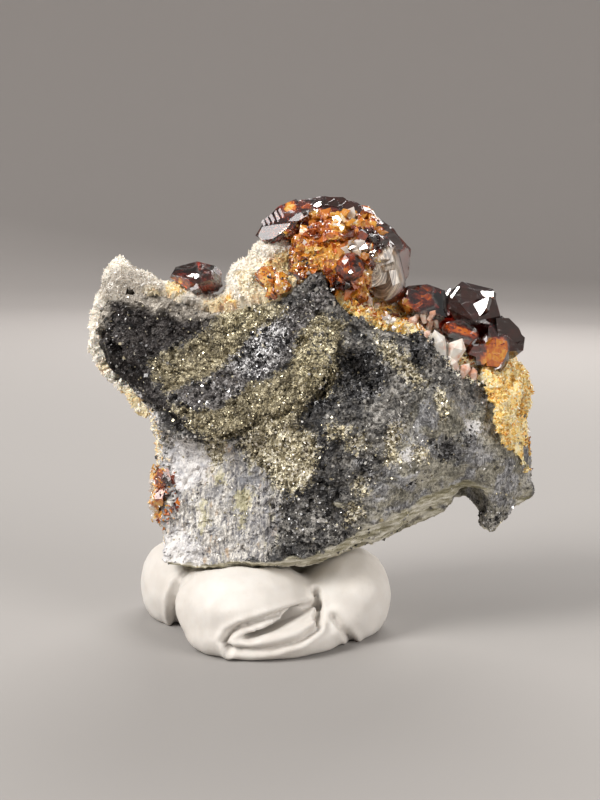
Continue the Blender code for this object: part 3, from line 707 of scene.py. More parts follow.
def zoneLayers(piece):
    points, normals = surfaceOf(piece)
    spots = wandering(points, 5.0)
    front = facing(normals, 0.75, 1.5)
    for name, (soft, outlines) in rock["zones"].items():
        paint(piece, name, inZone(spots, outlines, soft) * front)
    # Overhangs below picture row 455, and the greyer right side beyond a line that leans with the rows.
    under = ease((-normals[:, 2] - 0.36) / 0.3) * ease((spots[:, 1] - 455.0) / 30.0)
    paint(piece, "under", under)
    grey = ease((spots[:, 0] - 318.0 + 0.45 * np.clip(430.0 - spots[:, 1], 0.0, 200.0)) / 60.0)
    paint(piece, "grey", grey * (1.0 - painted(piece, "dusk")))
    # Chips stay low on the smooth zones and on the back.
    behind = ease((points[:, 1] / mm - 2.0) / 3.0)
    satin, pale, dusk = [painted(piece, name) for name in ("satin", "pale", "dusk")]
    paint(piece, "calm", np.maximum.reduce([0.6 * satin, 0.7 * under, 0.4 * behind, 0.3 * pale, 0.3 * dusk]))


def streakRelief(piece):
    # Upright ribs on the pale lower left face.
    points, normals = surfaceOf(piece)
    squeezed = points * np.array([1.0, 1.0, 0.22])
    ribs = blotches(squeezed, 0.9, 2.0) * 0.2 + blotches(squeezed, 0.5, 6.0) * 0.14
    movePoints(piece, points + normals * (ribs * painted(piece, "pale") * mm)[:, None])


def ragged(zone, noise, chance, spread=1.5, scatter=0.55):
    # A zone's layer, its soft edge broken up by the noise and scattered grain by grain.
    mixed = weighed((zone, 1.0), (noise, spread), (chance, scatter), plus=-0.5 * (spread + scatter))
    return level(mixed, 0.36, 0.64)


def rockFinish():
    finish, shader, place, layer = newFinish("bandedSulphideRock")
    normal = added(finish.node_tree, "ShaderNodeNewGeometry").outputs["Normal"]
    bend = put("ShaderNodeTexNoise", {"Vector": place, "Scale": 0.9, "Detail": 3.0}).outputs["Color"]
    bent = vectorCalc("ADD", place, scaled(centred(bend), 1.3))
    grains, pick = cells(bent, 4.4)
    facets, broad = cells(bent, 2.2)
    plate = cells(bent, 1.1)[1]
    patches = noisy(place, 0.24, 4.0, 0.55)
    mottle = noisy(place, 0.6, 6.0, 0.62)
    fine = noisy(place, 2.6, 5.0, 0.68)
    edge = noisy(place, 1.1, 5.0, 0.7)
    gold, pyrite, galena, black = [ragged(layer(name), edge, pick[2])
                                   for name in ("gold", "pyrite", "galena", "black")]

    def shaded(name, value):
        return ramp(value, rockColours[name])

    # One brightness for grainy minerals and one for smooth ones, each read through the mineral's own colours.
    grainy = weighed((pick[0], 0.42), (broad[0], 0.16), (level(mottle, 0.3, 0.7), 0.42))
    smoothly = weighed((mottle, 0.55), (fine, 0.33), (pick[0], 0.12))
    ground = weighed((mottle, 0.30), (fine, 0.22), (plate[0], 0.19), (broad[1], 0.13), (pick[0], 0.23),
                     (patches, 0.50), (layer("grey"), 0.10), (layer("sparks"), 0.08), plus=-0.365)
    scratched = noisy(turned(place, (1.0, 1.0, 0.35), (0.0, -38.0, 0.0)), 2.4, 4.0, 0.65)
    # The upper left zone's colour is dark rock, and painted shade where its facets face down and left.
    dusk = shaded("dusk", weighed((smoothly, 0.52), (scratched, 0.33), (pick[0], 0.15)))
    colour = blend(layer("dusk"), shaded("ground", ground), dusk)
    striped = noisy(turned(place, (0.30, 0.5, 2.6), (0.0, 22.0, 0.0)), 0.7, 4.0)
    fibres = noisy(turned(place, (1.0, 1.0, 0.26), (0.0, -10.0, 0.0)), 3.0, 3.0, 0.6, 1.4)
    silky = weighed((striped, 0.16), (fibres, 0.42), (ground, 0.38), (pick[1], 0.05))
    slaty = level(noisy(place, 0.30, 4.0, 0.55, 0.6), 0.46, 0.56)
    satin = blend(slaty, shaded("satin", silky), shaded("slate", silky))
    colour = blend(times(layer("satin"), 0.85), colour, satin)
    # The black zone: dark mineral, and painted shade in the crease at the ridge's foot.
    colour = blend(times(black, 0.9), colour, shaded("black", grainy))
    clear = shaded("clear", weighed((fine, 0.5), (mottle, 0.5)))
    colour = blend(times(layer("clear"), 0.85), colour, clear)

    # The pale zone is combed upright, with bluish, lime and rusty patches.
    upright = turned(place, (1.0, 1.0, 0.24), (0.0, 6.0, 0.0))
    combed = turned(place, (1.0, 1.0, 0.30), (0.0, 8.0, 0.0))
    wisps = calc("ABSOLUTE", calc("SUBTRACT", noisy(combed, 1.7, 3.0, 0.55, 1.2), 0.5))
    streaks = weighed((noisy(upright, 1.5, 4.0, 0.6, 0.6), 0.50), (noisy(upright, 4.0, 3.0, 0.6, 0.4), 0.26),
                      (wisps, -0.72), (pick[1], 0.07), (layer("dim"), -0.045), plus=0.136)
    bluish = level(noisy(place, 0.42, 5.0, 0.6, 0.8), 0.49, 0.62, 0.0, 0.6)
    pale = blend(bluish, shaded("pale", streaks), (0.27, 0.275, 0.30, 1.0))
    lime = level(noisy(upright, 0.9, 4.0, 0.6, 0.4), 0.60, 0.66, 0.0, 0.3)
    lime = largest(lime, times(ragged(layer("lime"), edge, pick[1]), 0.42))
    pale = blend(lime, pale, (0.54, 0.49, 0.20, 1.0))
    rusty = level(noisy(turned(place, (1.0, 1.0, 0.4), (0.0, 0.0, 40.0)), 0.9, 3.0), 0.60, 0.7, 0.0, 0.5)
    pale = blend(rusty, pale, (0.50, 0.31, 0.14, 1.0))
    colour = blend(ragged(layer("pale"), edge, pick[1], 1.3, 0.4), colour, pale)
    chalk = shaded("chalk", weighed((mottle, 0.6), (fine, 0.4)))
    colour = blend(times(ragged(layer("chalk"), edge, pick[1]), 0.8), colour, chalk)
    bands = noisy(turned(place, (0.08, 0.5, 1.2), (0.0, -15.0, 0.0)), 1.2, 5.0)
    colour = blend(layer("under"), colour, shaded("under", bands))

    brass = blend(layer("bright"), shaded("brass", grainy), shaded("shiny", grainy))
    # In the glint zone the galena turns white, as painted glints.
    silver = blend(layer("glint"), shaded("silver", grainy), shaded("white", grainy))
    for share, metal in ((pyrite, brass), (galena, silver), (gold, shaded("sandy", grainy))):
        colour = blend(share, colour, metal)

    ore = largest(largest(pyrite, galena), times(gold, 0.6))
    shadowy = times(largest(layer("dusk"), black), 0.65)
    # Each grain leans its own way, so that some of them catch the light. Smooth zones lean little.
    quiet = largest(largest(layer("satin"), layer("under")), largest(layer("dusk"), layer("pale")))
    quiet = times(quiet, calc("SUBTRACT", 1.0, ore))
    amount = weighed((ore, 0.75), (quiet, -0.34), plus=0.45)
    leaning = vectorCalc("ADD", normal, scaled(centred(grains), amount))
    leaning = vectorCalc("ADD", leaning, scaled(centred(facets), times(amount, 0.7)))
    height = weighed((fine, 0.5), (fibres, 0.4), (streaks, 0.7))
    fill(shader, {
        "Base Color": colour, "Metallic": largest(times(ore, 0.6), shadowy), "Specular IOR Level": 0.45,
        "Roughness": weighed((pick[1], 0.25), (layer("pale"), 0.15), plus=0.30),
        "Normal": bumped(height, 0.6, 0.0003, Normal=vectorCalc("NORMALIZE", leaning))})
    return finish


def makeRock():
    piece = softCopy("matrix", "bandedRock", rock)
    shapeByPicture(piece, rock["creases"], rock["swells"])
    zoneLayers(piece)
    streakRelief(piece)
    finish = rockFinish()
    runTree(piece, relief, reliefOf(rock, finish))
    return dress(piece, finish, "matrix", "matrix")


# Loose grains that stand on the rock: how thickly each zone carries them, their colours and their finish.

looseGrains = {
    "brassGrains": {"spacing": 0.25, "density": 1.6e7, "smallest": 0.20, "largest": 0.46, "lean": 3.0,
                    "sink": 0.03, "seed": 41, "zones": {"pyrite": 0.7, "bright": 0.5}, "stray": 0.02,
                    "metal": 0.6, "rough": 0.27,
                    "colours": [(0.1, 0.12, 0.10, 0.062), (0.4, 0.38, 0.33, 0.215),
                                (0.75, 0.72, 0.65, 0.46), (0.95, 0.95, 0.91, 0.76)]},
    "strawGrains": {"spacing": 0.30, "density": 1.8e7, "smallest": 0.24, "largest": 0.66, "lean": 3.0,
                    "sink": 0.05, "seed": 43, "zones": {"gold": 0.8}, "stray": 0.006,
                    "metal": 0.5, "rough": 0.27,
                    "colours": [(0.15, 0.06, 0.045, 0.028), (0.35, 0.36, 0.31, 0.19),
                                (0.6, 0.72, 0.65, 0.47), (0.9, 0.96, 0.92, 0.86)]},
    # Galena grains, mostly dark, whose white colours are painted glints.
    "silverGrains": {"spacing": 0.24, "density": 1.8e7, "smallest": 0.12, "largest": 0.44, "lean": 3.0,
                     "sink": 0.03, "seed": 47, "zones": {"glint": 0.9, "galena": 0.24, "sparks": 0.3},
                     "stray": 0.012, "metal": 0.6, "rough": 0.25,
                     "colours": [(0.2, 0.03, 0.029, 0.031), (0.45, 0.15, 0.145, 0.15),
                                 (0.6, 0.66, 0.65, 0.66), (0.8, 1.0, 1.0, 1.0)]},
    "leadGrains": {"spacing": 0.32, "density": 1.6e7, "smallest": 0.24, "largest": 0.80, "lean": 3.0,
                   "sink": 0.08, "seed": 53, "stray": 0.03, "metal": 0.6, "rough": 0.2,
                   "zones": {"black": 0.7, "galena": 0.3, "sparks": 0.4, "dusk": 0.12, "grey": 0.04,
                             "satin": -0.1, "pyrite": -0.03, "pale": -0.2, "gold": -0.03, "clear": -0.1},
                   "colours": [(0.1, 0.006, 0.006, 0.007), (0.5, 0.028, 0.027, 0.028),
                               (0.8, 0.085, 0.083, 0.082), (0.95, 0.34, 0.33, 0.33)]},
    "slateGrains": {"spacing": 0.32, "density": 1.6e7, "smallest": 0.22, "largest": 0.70, "lean": 3.0,
                    "sink": 0.07, "seed": 59, "stray": 0.02, "metal": 0.3, "rough": 0.3,
                    "zones": {"grey": 0.42, "satin": -0.41, "black": -0.1, "gold": -0.3, "pale": -0.1},
                    "colours": [(0.1, 0.035, 0.033, 0.031), (0.5, 0.12, 0.113, 0.103),
                                (0.8, 0.28, 0.265, 0.24), (0.95, 0.66, 0.64, 0.60)]},
    "frostGrains": {"spacing": 0.27, "density": 1.8e7, "smallest": 0.16, "largest": 0.52, "lean": 3.0,
                    "sink": 0.04, "seed": 61, "zones": {"pale": 0.07}, "stray": 0.004,
                    "metal": 0.0, "rough": 0.3,
                    "colours": [(0.1, 0.09, 0.088, 0.09), (0.35, 0.36, 0.35, 0.35),
                                (0.65, 0.76, 0.74, 0.71), (0.95, 0.98, 0.96, 0.93)]},
}


def grainFinish(name, settings):
    finish, shader, place, layer = newFinish(name + "Finish")
    tone = weighed((layer("tint"), 0.75), (noisy(place, 1.5, 4.0), 0.25))
    fill(shader, {"Base Color": ramp(tone, settings["colours"]), "Metallic": settings["metal"],
                  "Roughness": settings["rough"], "Normal": bumped(noisy(place, 6.0), 0.25, 0.0001)})
    return finish


def makeLooseGrains(shapes, bandedRock):
    for name, settings in looseGrains.items():
        grains = addPiece(name, bandedRock.data.copy())
        grow = settings["stray"]
        for zone, share in settings["zones"].items():
            grow = grow + share * painted(grains, zone)
        grow *= facing(pointsOf(grains, "normal"), 1.3, 0.8) * (1.0 - 0.7 * painted(grains, "under"))
        paint(grains, "grow", np.clip(grow, 0.0, 1.0))
        growCoat(grains, settings, shapes, grainFinish(name, settings), "matrix")


# The quartz crust, the stained crust and the loose grains along the edges of the rock.

quartz = {"voxel": 0.40, "smoothing": 2, "swell": (2.4, 0.5), "chip": (1.1, 0.22), "grain": (0.45, 0.16),
          "inset": 0.25, "fit": None, "tail": None,
          # The fan stands out under the top cluster: picture place, half width, half height and rise.
          "swells": [(272, 248, 17, 10, 1.1), (288, 250, 10, 12, 0.8)],
          # Each coat covers the faces that lean back between two limits, from -1 in front to 1 behind.
          "coats": {
              "Crystals": {"spacing": 0.23, "density": 2.6e7, "smallest": 0.21, "largest": 0.54, "lean": 0.7,
                           "sink": 0.04, "seed": 11, "facing": (-1.0, 0.35)},
              "BackCrystals": {"spacing": 0.30, "density": 1.4e7, "smallest": 0.32, "largest": 0.78,
                               "lean": 0.7, "sink": 0.08, "seed": 12, "facing": (0.35, 1.0)}}}
stain = {"voxel": 0.32, "smoothing": 2, "swell": (2.0, 0.7), "chip": (1.0, 0.4), "grain": (0.45, 0.2),
         "inset": 0.2, "swells": [],
         # Picture rows and places: the line that stays put, and the line that the outermost points reach.
         "fit": ("340,484 400,498 420,507 437,515 475,522",
                 "340,526 365,530 385,531 405,531 425,526 437,522 450,525 475,528"),
         # Between these rows the crust draws back behind the edge of the rock, by this much.
         "tail": (434, 456, 2.8),
         "coats": {
             "Crystals": {"spacing": 0.20, "density": 3.6e7, "smallest": 0.18, "largest": 0.52, "lean": 0.9,
                          "sink": 0.04, "seed": 23, "facing": (-1.0, 1.0)}}}
edgeGrains = {"spacing": 0.22, "density": 2.6e7, "smallest": 0.2, "largest": 0.60, "lean": 0.9, "sink": 0.04,
              "seed": 31,
              "grow": "126,390 137,397 152,410 160,426 163,444 166,460 158,470 153,482 152,502 156,524 "
                  "163,534 162,550 160,572 150,574 146,540 142,500 144,462 150,446 144,424 134,410 / "
                  "352,306 372,300 408,316 436,328 456,350 484,364 494,386 470,380 452,374 434,348 416,328 "
                  "392,326 366,316",
              # The seam between the stained and the white crust, from its lowest to its highest corner.
              "seam": ((22.0, 2.6, 21.0), (33.0, 6.6, 42.0))}
# How stained the white grains are: strength, softness, how far towards dark red or white, and outline.
stained = [
    (1.0, 6, -0.02, "322,288 366,284 402,292 424,308 440,318 470,334 488,350 494,384 470,384 452,366 "
        "440,352 424,336 396,330 340,322"),
    (1.0, 4, -0.03, "338,290 366,290 366,304 340,304"),
    (1.0, 4, -0.07, "364,300 398,302 398,324 370,318"),
    (0.9, 4, 0.34, "406,306 436,310 434,330 410,328"),
    (0.25, 4, 0.40, "430,328 450,330 464,342 462,360 446,360 432,352"),
    (0.8, 4, 0.16, "450,356 480,358 490,388 466,388"),
    (0.65, 5, 0.10, "120,388 134,396 152,408 168,426 174,452 152,462 140,430 124,404"),
    (0.75, 6, 0.05, "144,470 166,462 182,476 186,520 170,552 150,545 140,500"),
    (0.7, 6, 0.0, "262,262 292,250 300,268 292,296 262,300 256,280"),
    (0.4, 5, 0.1, "236,272 262,262 268,296 244,298"),
    (0.9, 4, -0.1, "224,296 232,292 236,300 226,302"),
    (0.8, 4, 0.1, "166,280 178,276 188,284 184,294 168,292"),
    (1.0, 5, -0.20, "484,344 502,340 512,356 500,372 486,368"),
    (1.0, 3, -0.22, "522,436 532,440 536,470 526,470")]
# Where the white quartz clears to a grey that shows the rock behind it: strength, softness and outline.
veiled = [
    (0.75, 7, "98,284 112,270 134,268 150,276 164,284 172,296 236,296 236,308 168,308 130,292 100,296"),
    (0.8, 4, "281,254 292,248 301,256 300,274 288,276"),
    (0.35, 5, "228,292 262,290 300,280 300,304 228,308")]


# Colours of the quartz from dark to bright: brightness, red, green, blue.
quartzColours = {
    "white": [(0.05, 0.66, 0.58, 0.45), (0.35, 0.85, 0.79, 0.68), (0.8, 0.95, 0.92, 0.85)],
    "rust": [(0.04, 0.10, 0.025, 0.008), (0.16, 0.46, 0.14, 0.022), (0.28, 0.84, 0.42, 0.06),
             (0.42, 0.95, 0.66, 0.20), (0.58, 0.96, 0.81, 0.44), (0.80, 0.96, 0.89, 0.70),
             (0.95, 0.95, 0.88, 0.84)],
    "clear": [(0.32, 0.80, 0.42, 0.28), (0.42, 0.90, 0.68, 0.58), (0.54, 0.93, 0.89, 0.80),
              (0.66, 0.98, 0.96, 0.93)],
}


def stainLayer(piece):
    points = pointsOf(piece)
    spots = wandering(points, 4.0)
    front = ease(1.6 - points[:, 1] / (6.0 * mm))
    amount = np.zeros(len(points))
    shift = 0.25 * blotches(points, 1.3, 7.7)
    for strength, soft, towards, outline in stained:
        here = inZone(spots, outline, soft)
        amount = np.where(here > 0.5, strength, np.maximum(amount, strength * here))
        shift += towards * here
    hints = 0.45 * ease((blotches(points, 4.0, 2.2) - 0.25) * 3.0)
    paint(piece, "stained", np.clip(np.maximum(amount * front, hints), 0.0, 1.0))
    paint(piece, "shift", shift)
    veils = [strength * inZone(spots, outline, soft) for strength, soft, outline in veiled]
    paint(piece, "veil", np.max(veils, axis=0) * front)


def quartzFinish(name, whole):
    # Where whole is 1, every grain is stained, and elsewhere the stained layer says which ones are.
    finish, shader, place, layer = newFinish(name)
    tint = weighed((layer("tint"), 0.6), (noisy(place, 0.7, 4.0), 0.3), (layer("shift"), 1.0),
                   plus=0.06 if whole else 0.05)
    white = blend(layer("veil"), ramp(tint, quartzColours["white"]), (0.34, 0.30, 0.255, 1.0))
    rust = ramp(tint, quartzColours["rust"])
    fill(shader, {"Base Color": rust if whole else blend(layer("stained"), white, rust), "Roughness": 0.28,
                  "IOR": 1.54, "Transmission Weight": 0.12, "Subsurface Weight": 0.3,
                  "Subsurface Radius": (0.0006, 0.0005, 0.0004),
                  "Normal": bumped(noisy(place, 4.0), 0.3, 0.0001)})
    return finish


def drawIn(piece, inner, outer, row=8.0, least=0.15):
    # Points right of the inner line move left, until the outermost of each row show at the outer line.
    points = pointsOf(piece)
    across, down = inPicture(points).T
    rows = np.arange(down.min(), down.max(), row)
    widest = [across[np.abs(down - middle) < row].max() for middle in rows]
    start, goal = [np.interp(down, *placesOf(line).T) for line in (inner, outer)]
    share = np.clip((goal - start) / (np.interp(down, rows, widest) - start), least, 1.0)
    points[:, 0] -= np.clip(across - start, 0.0, None) * (1.0 - share) * camera["pointSize"] * mm
    movePoints(piece, points)


def drawBack(piece, first, last, amount):
    # Points below the first picture row move back, by the whole amount from the last row on.
    points = pointsOf(piece)
    points[:, 1] += amount * mm * ease((inPicture(points)[:, 1] - first) / (last - first))
    movePoints(piece, points)


def makeCrust(node, name, settings, finish, slot, shapes, rockTree):
    base = softCopy(node, name, settings)
    movePoints(base, pointsOf(base) - pointsOf(base, "normal") * settings["inset"] * mm)
    shapeByPicture(base, (), settings["swells"])
    if settings["fit"]:
        drawIn(base, *settings["fit"])
        drawBack(base, *settings["tail"])
    paint(base, "calm", 0.0)
    runTree(base, relief, reliefOf(settings, finish))
    stainLayer(base)
    outside = closeGap(base, rockTree, reach=0.6 + settings["inset"])
    behind = pointsOf(base, "normal")[:, 1]
    for suffix, coatSettings in settings["coats"].items():
        grown = addPiece(name + suffix, base.data.copy())
        low, high = coatSettings["facing"]
        paint(grown, "grow", outside * (behind >= low) * (behind <= high))
        growCoat(grown, coatSettings, shapes, finish, slot)
    paint(base, "tint", 0.5 + 0.5 * blotches(pointsOf(base), 0.5, 4.0))
    return dress(base, finish, slot, node)


def patchOn(piece, outlines, deepest):
    # The points of a piece, and how thickly shapes grow on them: inside the outlines, on the front.
    points, normals = surfaceOf(piece)
    grow = inZone(wandering(points, 3.0), outlines, 3.0) * facing(normals)
    return points, grow * (points[:, 1] < deepest * mm)


def makeEdgeGrains(shapes, finish, bandedRock):
    grains = addPiece("edgeGrains", bandedRock.data.copy())
    points, grow = patchOn(grains, edgeGrains["grow"], 6.0)
    low, high = np.array(edgeGrains["seam"]) * mm
    paint(grains, "grow", np.maximum(grow, np.all((points > low) & (points < high), axis=1)))
    stainLayer(grains)
    growCoat(grains, edgeGrains, shapes, finish, "quartz")


# Larger clear quartz crystals along the crest: picture place, length, girth, lean to the right in degrees
# and how pink they are.
clearQuartz = {
    "crystals": [
        (441, 353, 3.9, 1.30, -22, 0.0), (453, 357, 3.3, 1.25, 20, 0.1), (434, 344, 2.2, 0.80, -34, 0.0),
        (446, 342, 1.8, 0.7, 5, 0.2), (430, 324, 1.7, 0.65, 10, 0.9), (421, 327, 1.6, 0.62, -28, 0.8),
        (412, 323, 1.5, 0.60, 20, 1.0), (463, 373, 2.0, 0.80, 26, 0.6), (473, 377, 1.8, 0.75, -8, 0.9),
        (455, 366, 1.6, 0.62, -30, 0.3), (369, 303, 1.5, 0.60, -12, 0.5), (376, 306, 1.1, 0.5, 30, 0.8),
        (426, 335, 1.2, 0.5, 40, 0.4), (424, 318, 1.5, 0.55, -12, 0.9), (417, 317, 1.3, 0.5, 18, 0.8),
        (431, 316, 1.4, 0.52, 32, 0.8), (436, 323, 1.4, 0.5, -16, 0.5), (410, 319, 1.2, 0.5, -32, 0.9)],
    # The two rings of corners: how far along the crystal, and how wide.
    "rings": ((-0.25, 0.7), (0.62, 1.0)),
    "towards": 0.45, "sink": 0.35, "seed": 17}


def clearFinish():
    finish, shader, place, layer = newFinish("clearQuartz")
    cloud = weighed((noisy(place, 0.8, 4.0), 1.0), (layer("pink"), -0.18), plus=0.06)
    fill(shader, {"Base Color": ramp(cloud, quartzColours["clear"]), "Roughness": 0.2, "IOR": 1.54,
                  "Transmission Weight": 0.3, "Normal": bumped(noisy(place, 1.6), 0.3, 0.0002)})
    return finish


def makeClearQuartz(*covers):
    chance = random.Random(clearQuartz["seed"])
    right, up, back = [Vector(way) for way in np.array(cameraTurn()).T]
    bm = bmesh.new()
    pinks = []
    for x, y, length, girth, lean, pink in clearQuartz["crystals"]:
        lean = math.radians(lean)
        axis = (up * math.cos(lean) + right * math.sin(lean) + back * clearQuartz["towards"]).normalized()
        side = axis.cross(back).normalized()
        front = side.cross(axis)
        foot = seenOn(covers, x, y) - axis * clearQuartz["sink"] * mm
        places = []
        for along, reach in clearQuartz["rings"]:
            for turn in range(6):
                angle = turn * math.tau / 6 + chance.uniform(-0.12, 0.12)
                out = side * math.cos(angle) + front * math.sin(angle)
                uneven = chance.uniform(0.85, 1.0)
                places.append(foot + (axis * length * along + out * girth * reach * uneven) * mm)
        places.append(foot + (axis * length + side * 0.15 * girth) * mm)
        hullOf(bm, places)
        pinks += [pink] * (len(bm.verts) - len(pinks))
    piece = pieceFrom(bm, "clearCrystals")
    paint(piece, "pink", pinks)
    dress(piece, clearFinish(), "quartz")


# Sphalerite. The ember layer marks where cracks inside a crystal send warm light back out.

crystals = {"bevel": 0.06, "longest": 0.55, "facetSize": 0.95,
            # The light that each kind lets through, and how densely it absorbs the rest.
            "dark": ((0.80, 0.30, 0.07), 950.0), "amber": ((0.93, 0.55, 0.10), 520.0),
            "red": ((0.82, 0.16, 0.05), 900.0),
            # Scattered embers: how strong, and how rare.
            "scatter": (0.4, 0.38), "middle": (8.0, -4.0, 45.0),
            # Worn faces that give no sharp glint.
            "dull": "482,336 510,336 510,356 500,370 480,368 / 377,256 392,242 410,250 410,276 398,296 "
                "377,300 / 140,456 196,456 196,536 140,536",
            # Ember outlines for each cluster: tone from deep red 0 to honey 1, softness and outline.
            "embers": {
                "sphalerite_top_cluster": [
                    (0.64, 2, "284,200 294,199 297,206 295,213 286,213"),
                    (0.25, 3, "296,201 310,201 310,209 298,211"),
                    (0.04, 2, "312,199 322,194 345,197 362,205 358,213 325,210 314,208"),
                    (0.06, 3, "374,218 392,228 404,242 404,250 396,252 386,246 376,232"),
                    (0.5, 4, "289,238 299,227 313,212 345,210 373,210 387,236 386,250 377,268 372,296 "
                        "341,302 325,284 306,280 292,272 289,250")],
                "sphalerite_right_cluster": [
                    (0.24, 5, "398,287 416,284 430,288 432,304 418,312 400,306"),
                    (0.03, 3, "444,292 462,281 492,288 502,316 476,322 450,316"),
                    (0.03, 3, "486,316 512,314 534,344 514,356 506,340 494,338"),
                    (0.62, 2, "395,301 407,299 412,308 406,321 396,319"),
                    (0.30, 2, "441,321 456,323 476,332 477,339 462,335 446,330"),
                    (0.62, 3, "478,352 490,338 508,338 508,346 496,364 482,366"),
                    (0.12, 4, "462,342 480,340 488,352 472,362")],
                "sphalerite_left_crystal": [
                    (0.14, 5, "202,268 212,272 218,286 214,296 204,290"),
                    (0.6, 4, "168,280 180,278 188,286 184,296 168,294")],
                "sphalerite_small_cluster": [(0.6, 3, "258,262 294,262 294,298 258,298")],
                "sphalerite_edge_cluster": [
                    (0.24, 3, "146,462 176,460 190,480 188,502 148,502"),
                    (0.56, 3, "148,500 188,500 184,522 160,534 146,514"),
                    (0.97, 2, "138,454 155,456 154,536 138,536")]}}


def emberLayers(piece, node, seed):
    points, normals = surfaceOf(piece)
    spots = wandering(points, 2.5)
    front = facing(normals, 1.1, 1.5)
    # Away from the outlines, embers are scattered by soft noise.
    strength, rarity = crystals["scatter"]
    ember = strength * ease((blotches(points, 2.6, seed) - rarity) * 5.0)
    tone = 0.16 + 0.4 * blotches(points, 3.5, seed + 4.0)
    for warmth, soft, outline in crystals["embers"].get(node, []):
        here = inZone(spots, outline, soft) * front
        tone = tone * (1.0 - here) + warmth * here
        ember = np.maximum(ember, here)
    paint(piece, "ember", np.clip(ember, 0.0, 1.0))
    paint(piece, "tone", np.clip(tone, 0.0, 1.0))
    paint(piece, "dull", inZone(spots, crystals["dull"], 3.0))


# Colours of sphalerite by its tone, and of the growth lines on the top cluster.
warmColours = [(0.02, 0.020, 0.005, 0.003), (0.16, 0.13, 0.014, 0.006), (0.32, 0.40, 0.06, 0.010),
               (0.48, 0.74, 0.20, 0.016), (0.66, 0.88, 0.40, 0.035), (0.84, 0.92, 0.62, 0.16),
               (0.98, 0.92, 0.84, 0.78)]
arcColours = [(0.38, 0.050, 0.034, 0.026), (0.46, 0.18, 0.135, 0.10), (0.52, 0.36, 0.285, 0.21),
              (0.60, 0.82, 0.73, 0.59)]


def sphaleriteFinish(name, kind, shine=0.5, arcs=False):
    finish, shader, place, layer = newFinish(name)
    chance = cells(place, crystals["facetSize"])[1]
    smallChance = cells(place, crystals["facetSize"] * 2.6)[1]
    # Dark crystals keep one tone, and lighter ones change from facet to facet.
    lively = times(weighed((chance[0], 0.34), (smallChance[0], 0.24), plus=-0.31),
                   level(layer("tone"), 0.04, 0.2, 0.12, 1.0))
    warm = ramp(calc("ADD", layer("tone"), lively), warmColours)
    ember = layer("ember")
    colour = blend(level(ember, 0.0, 0.3), (1.0, 0.94, 0.90, 1.0), warm)
    solid = times(ember, 0.72)
    height = times(noisy(place, 0.9, 3.0, 0.5), 0.3)
    if arcs:
        # Growth lines curve round on the matt right side of the top cluster.
        middle = seenOn([treeOf(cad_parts["sphalerite_top_cluster"])], *topCluster["arcMiddle"]) / mm
        away = vectorCalc("SUBTRACT", place, tuple(middle))
        parts = put("ShaderNodeSeparateXYZ", {0: away}).outputs
        reach = vectorCalc("LENGTH", vectorCalc("MULTIPLY", away, (1.0, 0.7, 0.62)))
        turn = times(calc("ARCTAN2", parts[2], parts[0]), 1.1)
        around = put("ShaderNodeCombineXYZ", {0: times(reach, 6.0), 1: turn}).outputs[0]
        fibres = noisy(around, 1.0, 4.0, 0.62, 0.5)
        lines = ramp(weighed((fibres, 0.75), (noisy(place, 0.8, 4.0), 0.25)), arcColours)
        lines = blend(level(noisy(place, 0.4, 3.0), 0.52, 0.64, 0.0, 0.55), lines, (0.50, 0.24, 0.06, 1.0))
        colour = blend(layer("arcs"), colour, lines)
        solid = largest(solid, times(layer("arcs"), 0.85))
        height = weighed((height, 1.0), (times(fibres, layer("arcs")), 0.5))
    height = weighed((height, 1.0), (times(chance[1], ember), 0.7))
    fill(shader, {"Base Color": colour, "Transmission Weight": calc("SUBTRACT", 1.0, solid), "IOR": 2.37,
                  "Roughness": level(layer("dull"), 0.0, 1.0, 0.05, 0.42), "Specular IOR Level": shine,
                  "Normal": bumped(height, 0.35, 0.0003)})
    absorbed, density = crystals[kind]
    body = added(finish.node_tree, "ShaderNodeVolumeAbsorption")
    fill(body, {"Color": (*absorbed, 1.0), "Density": density})
    fill(finish.node_tree.nodes["Material Output"], {"Volume": body.outputs[0]})
    return finish


def cleanCopy(node, name):
    # A copy with whole flat faces and slightly worn edges.
    piece = startFrom(node, name)
    bm = bmesh.new()
    bm.from_mesh(piece.data)
    bmesh.ops.dissolve_limit(bm, angle_limit=math.radians(1.5), verts=bm.verts[:], edges=bm.edges[:])
    piece.data = meshFrom(bm, name)
    return changed(piece, "BEVEL", width=crystals["bevel"] * mm, segments=1, limit_method="ANGLE",
                   angle_limit=math.radians(18.0))


def makeCluster(node, name, finish, seed):
    piece = refine(cleanCopy(node, name), crystals["longest"])
    emberLayers(piece, node, seed)
    piece.data.shade_flat()
    return dress(piece, finish, "sphalerite", node)


# The broken top cluster: chips over its front, growth steps at the upper left and a round red crystal.

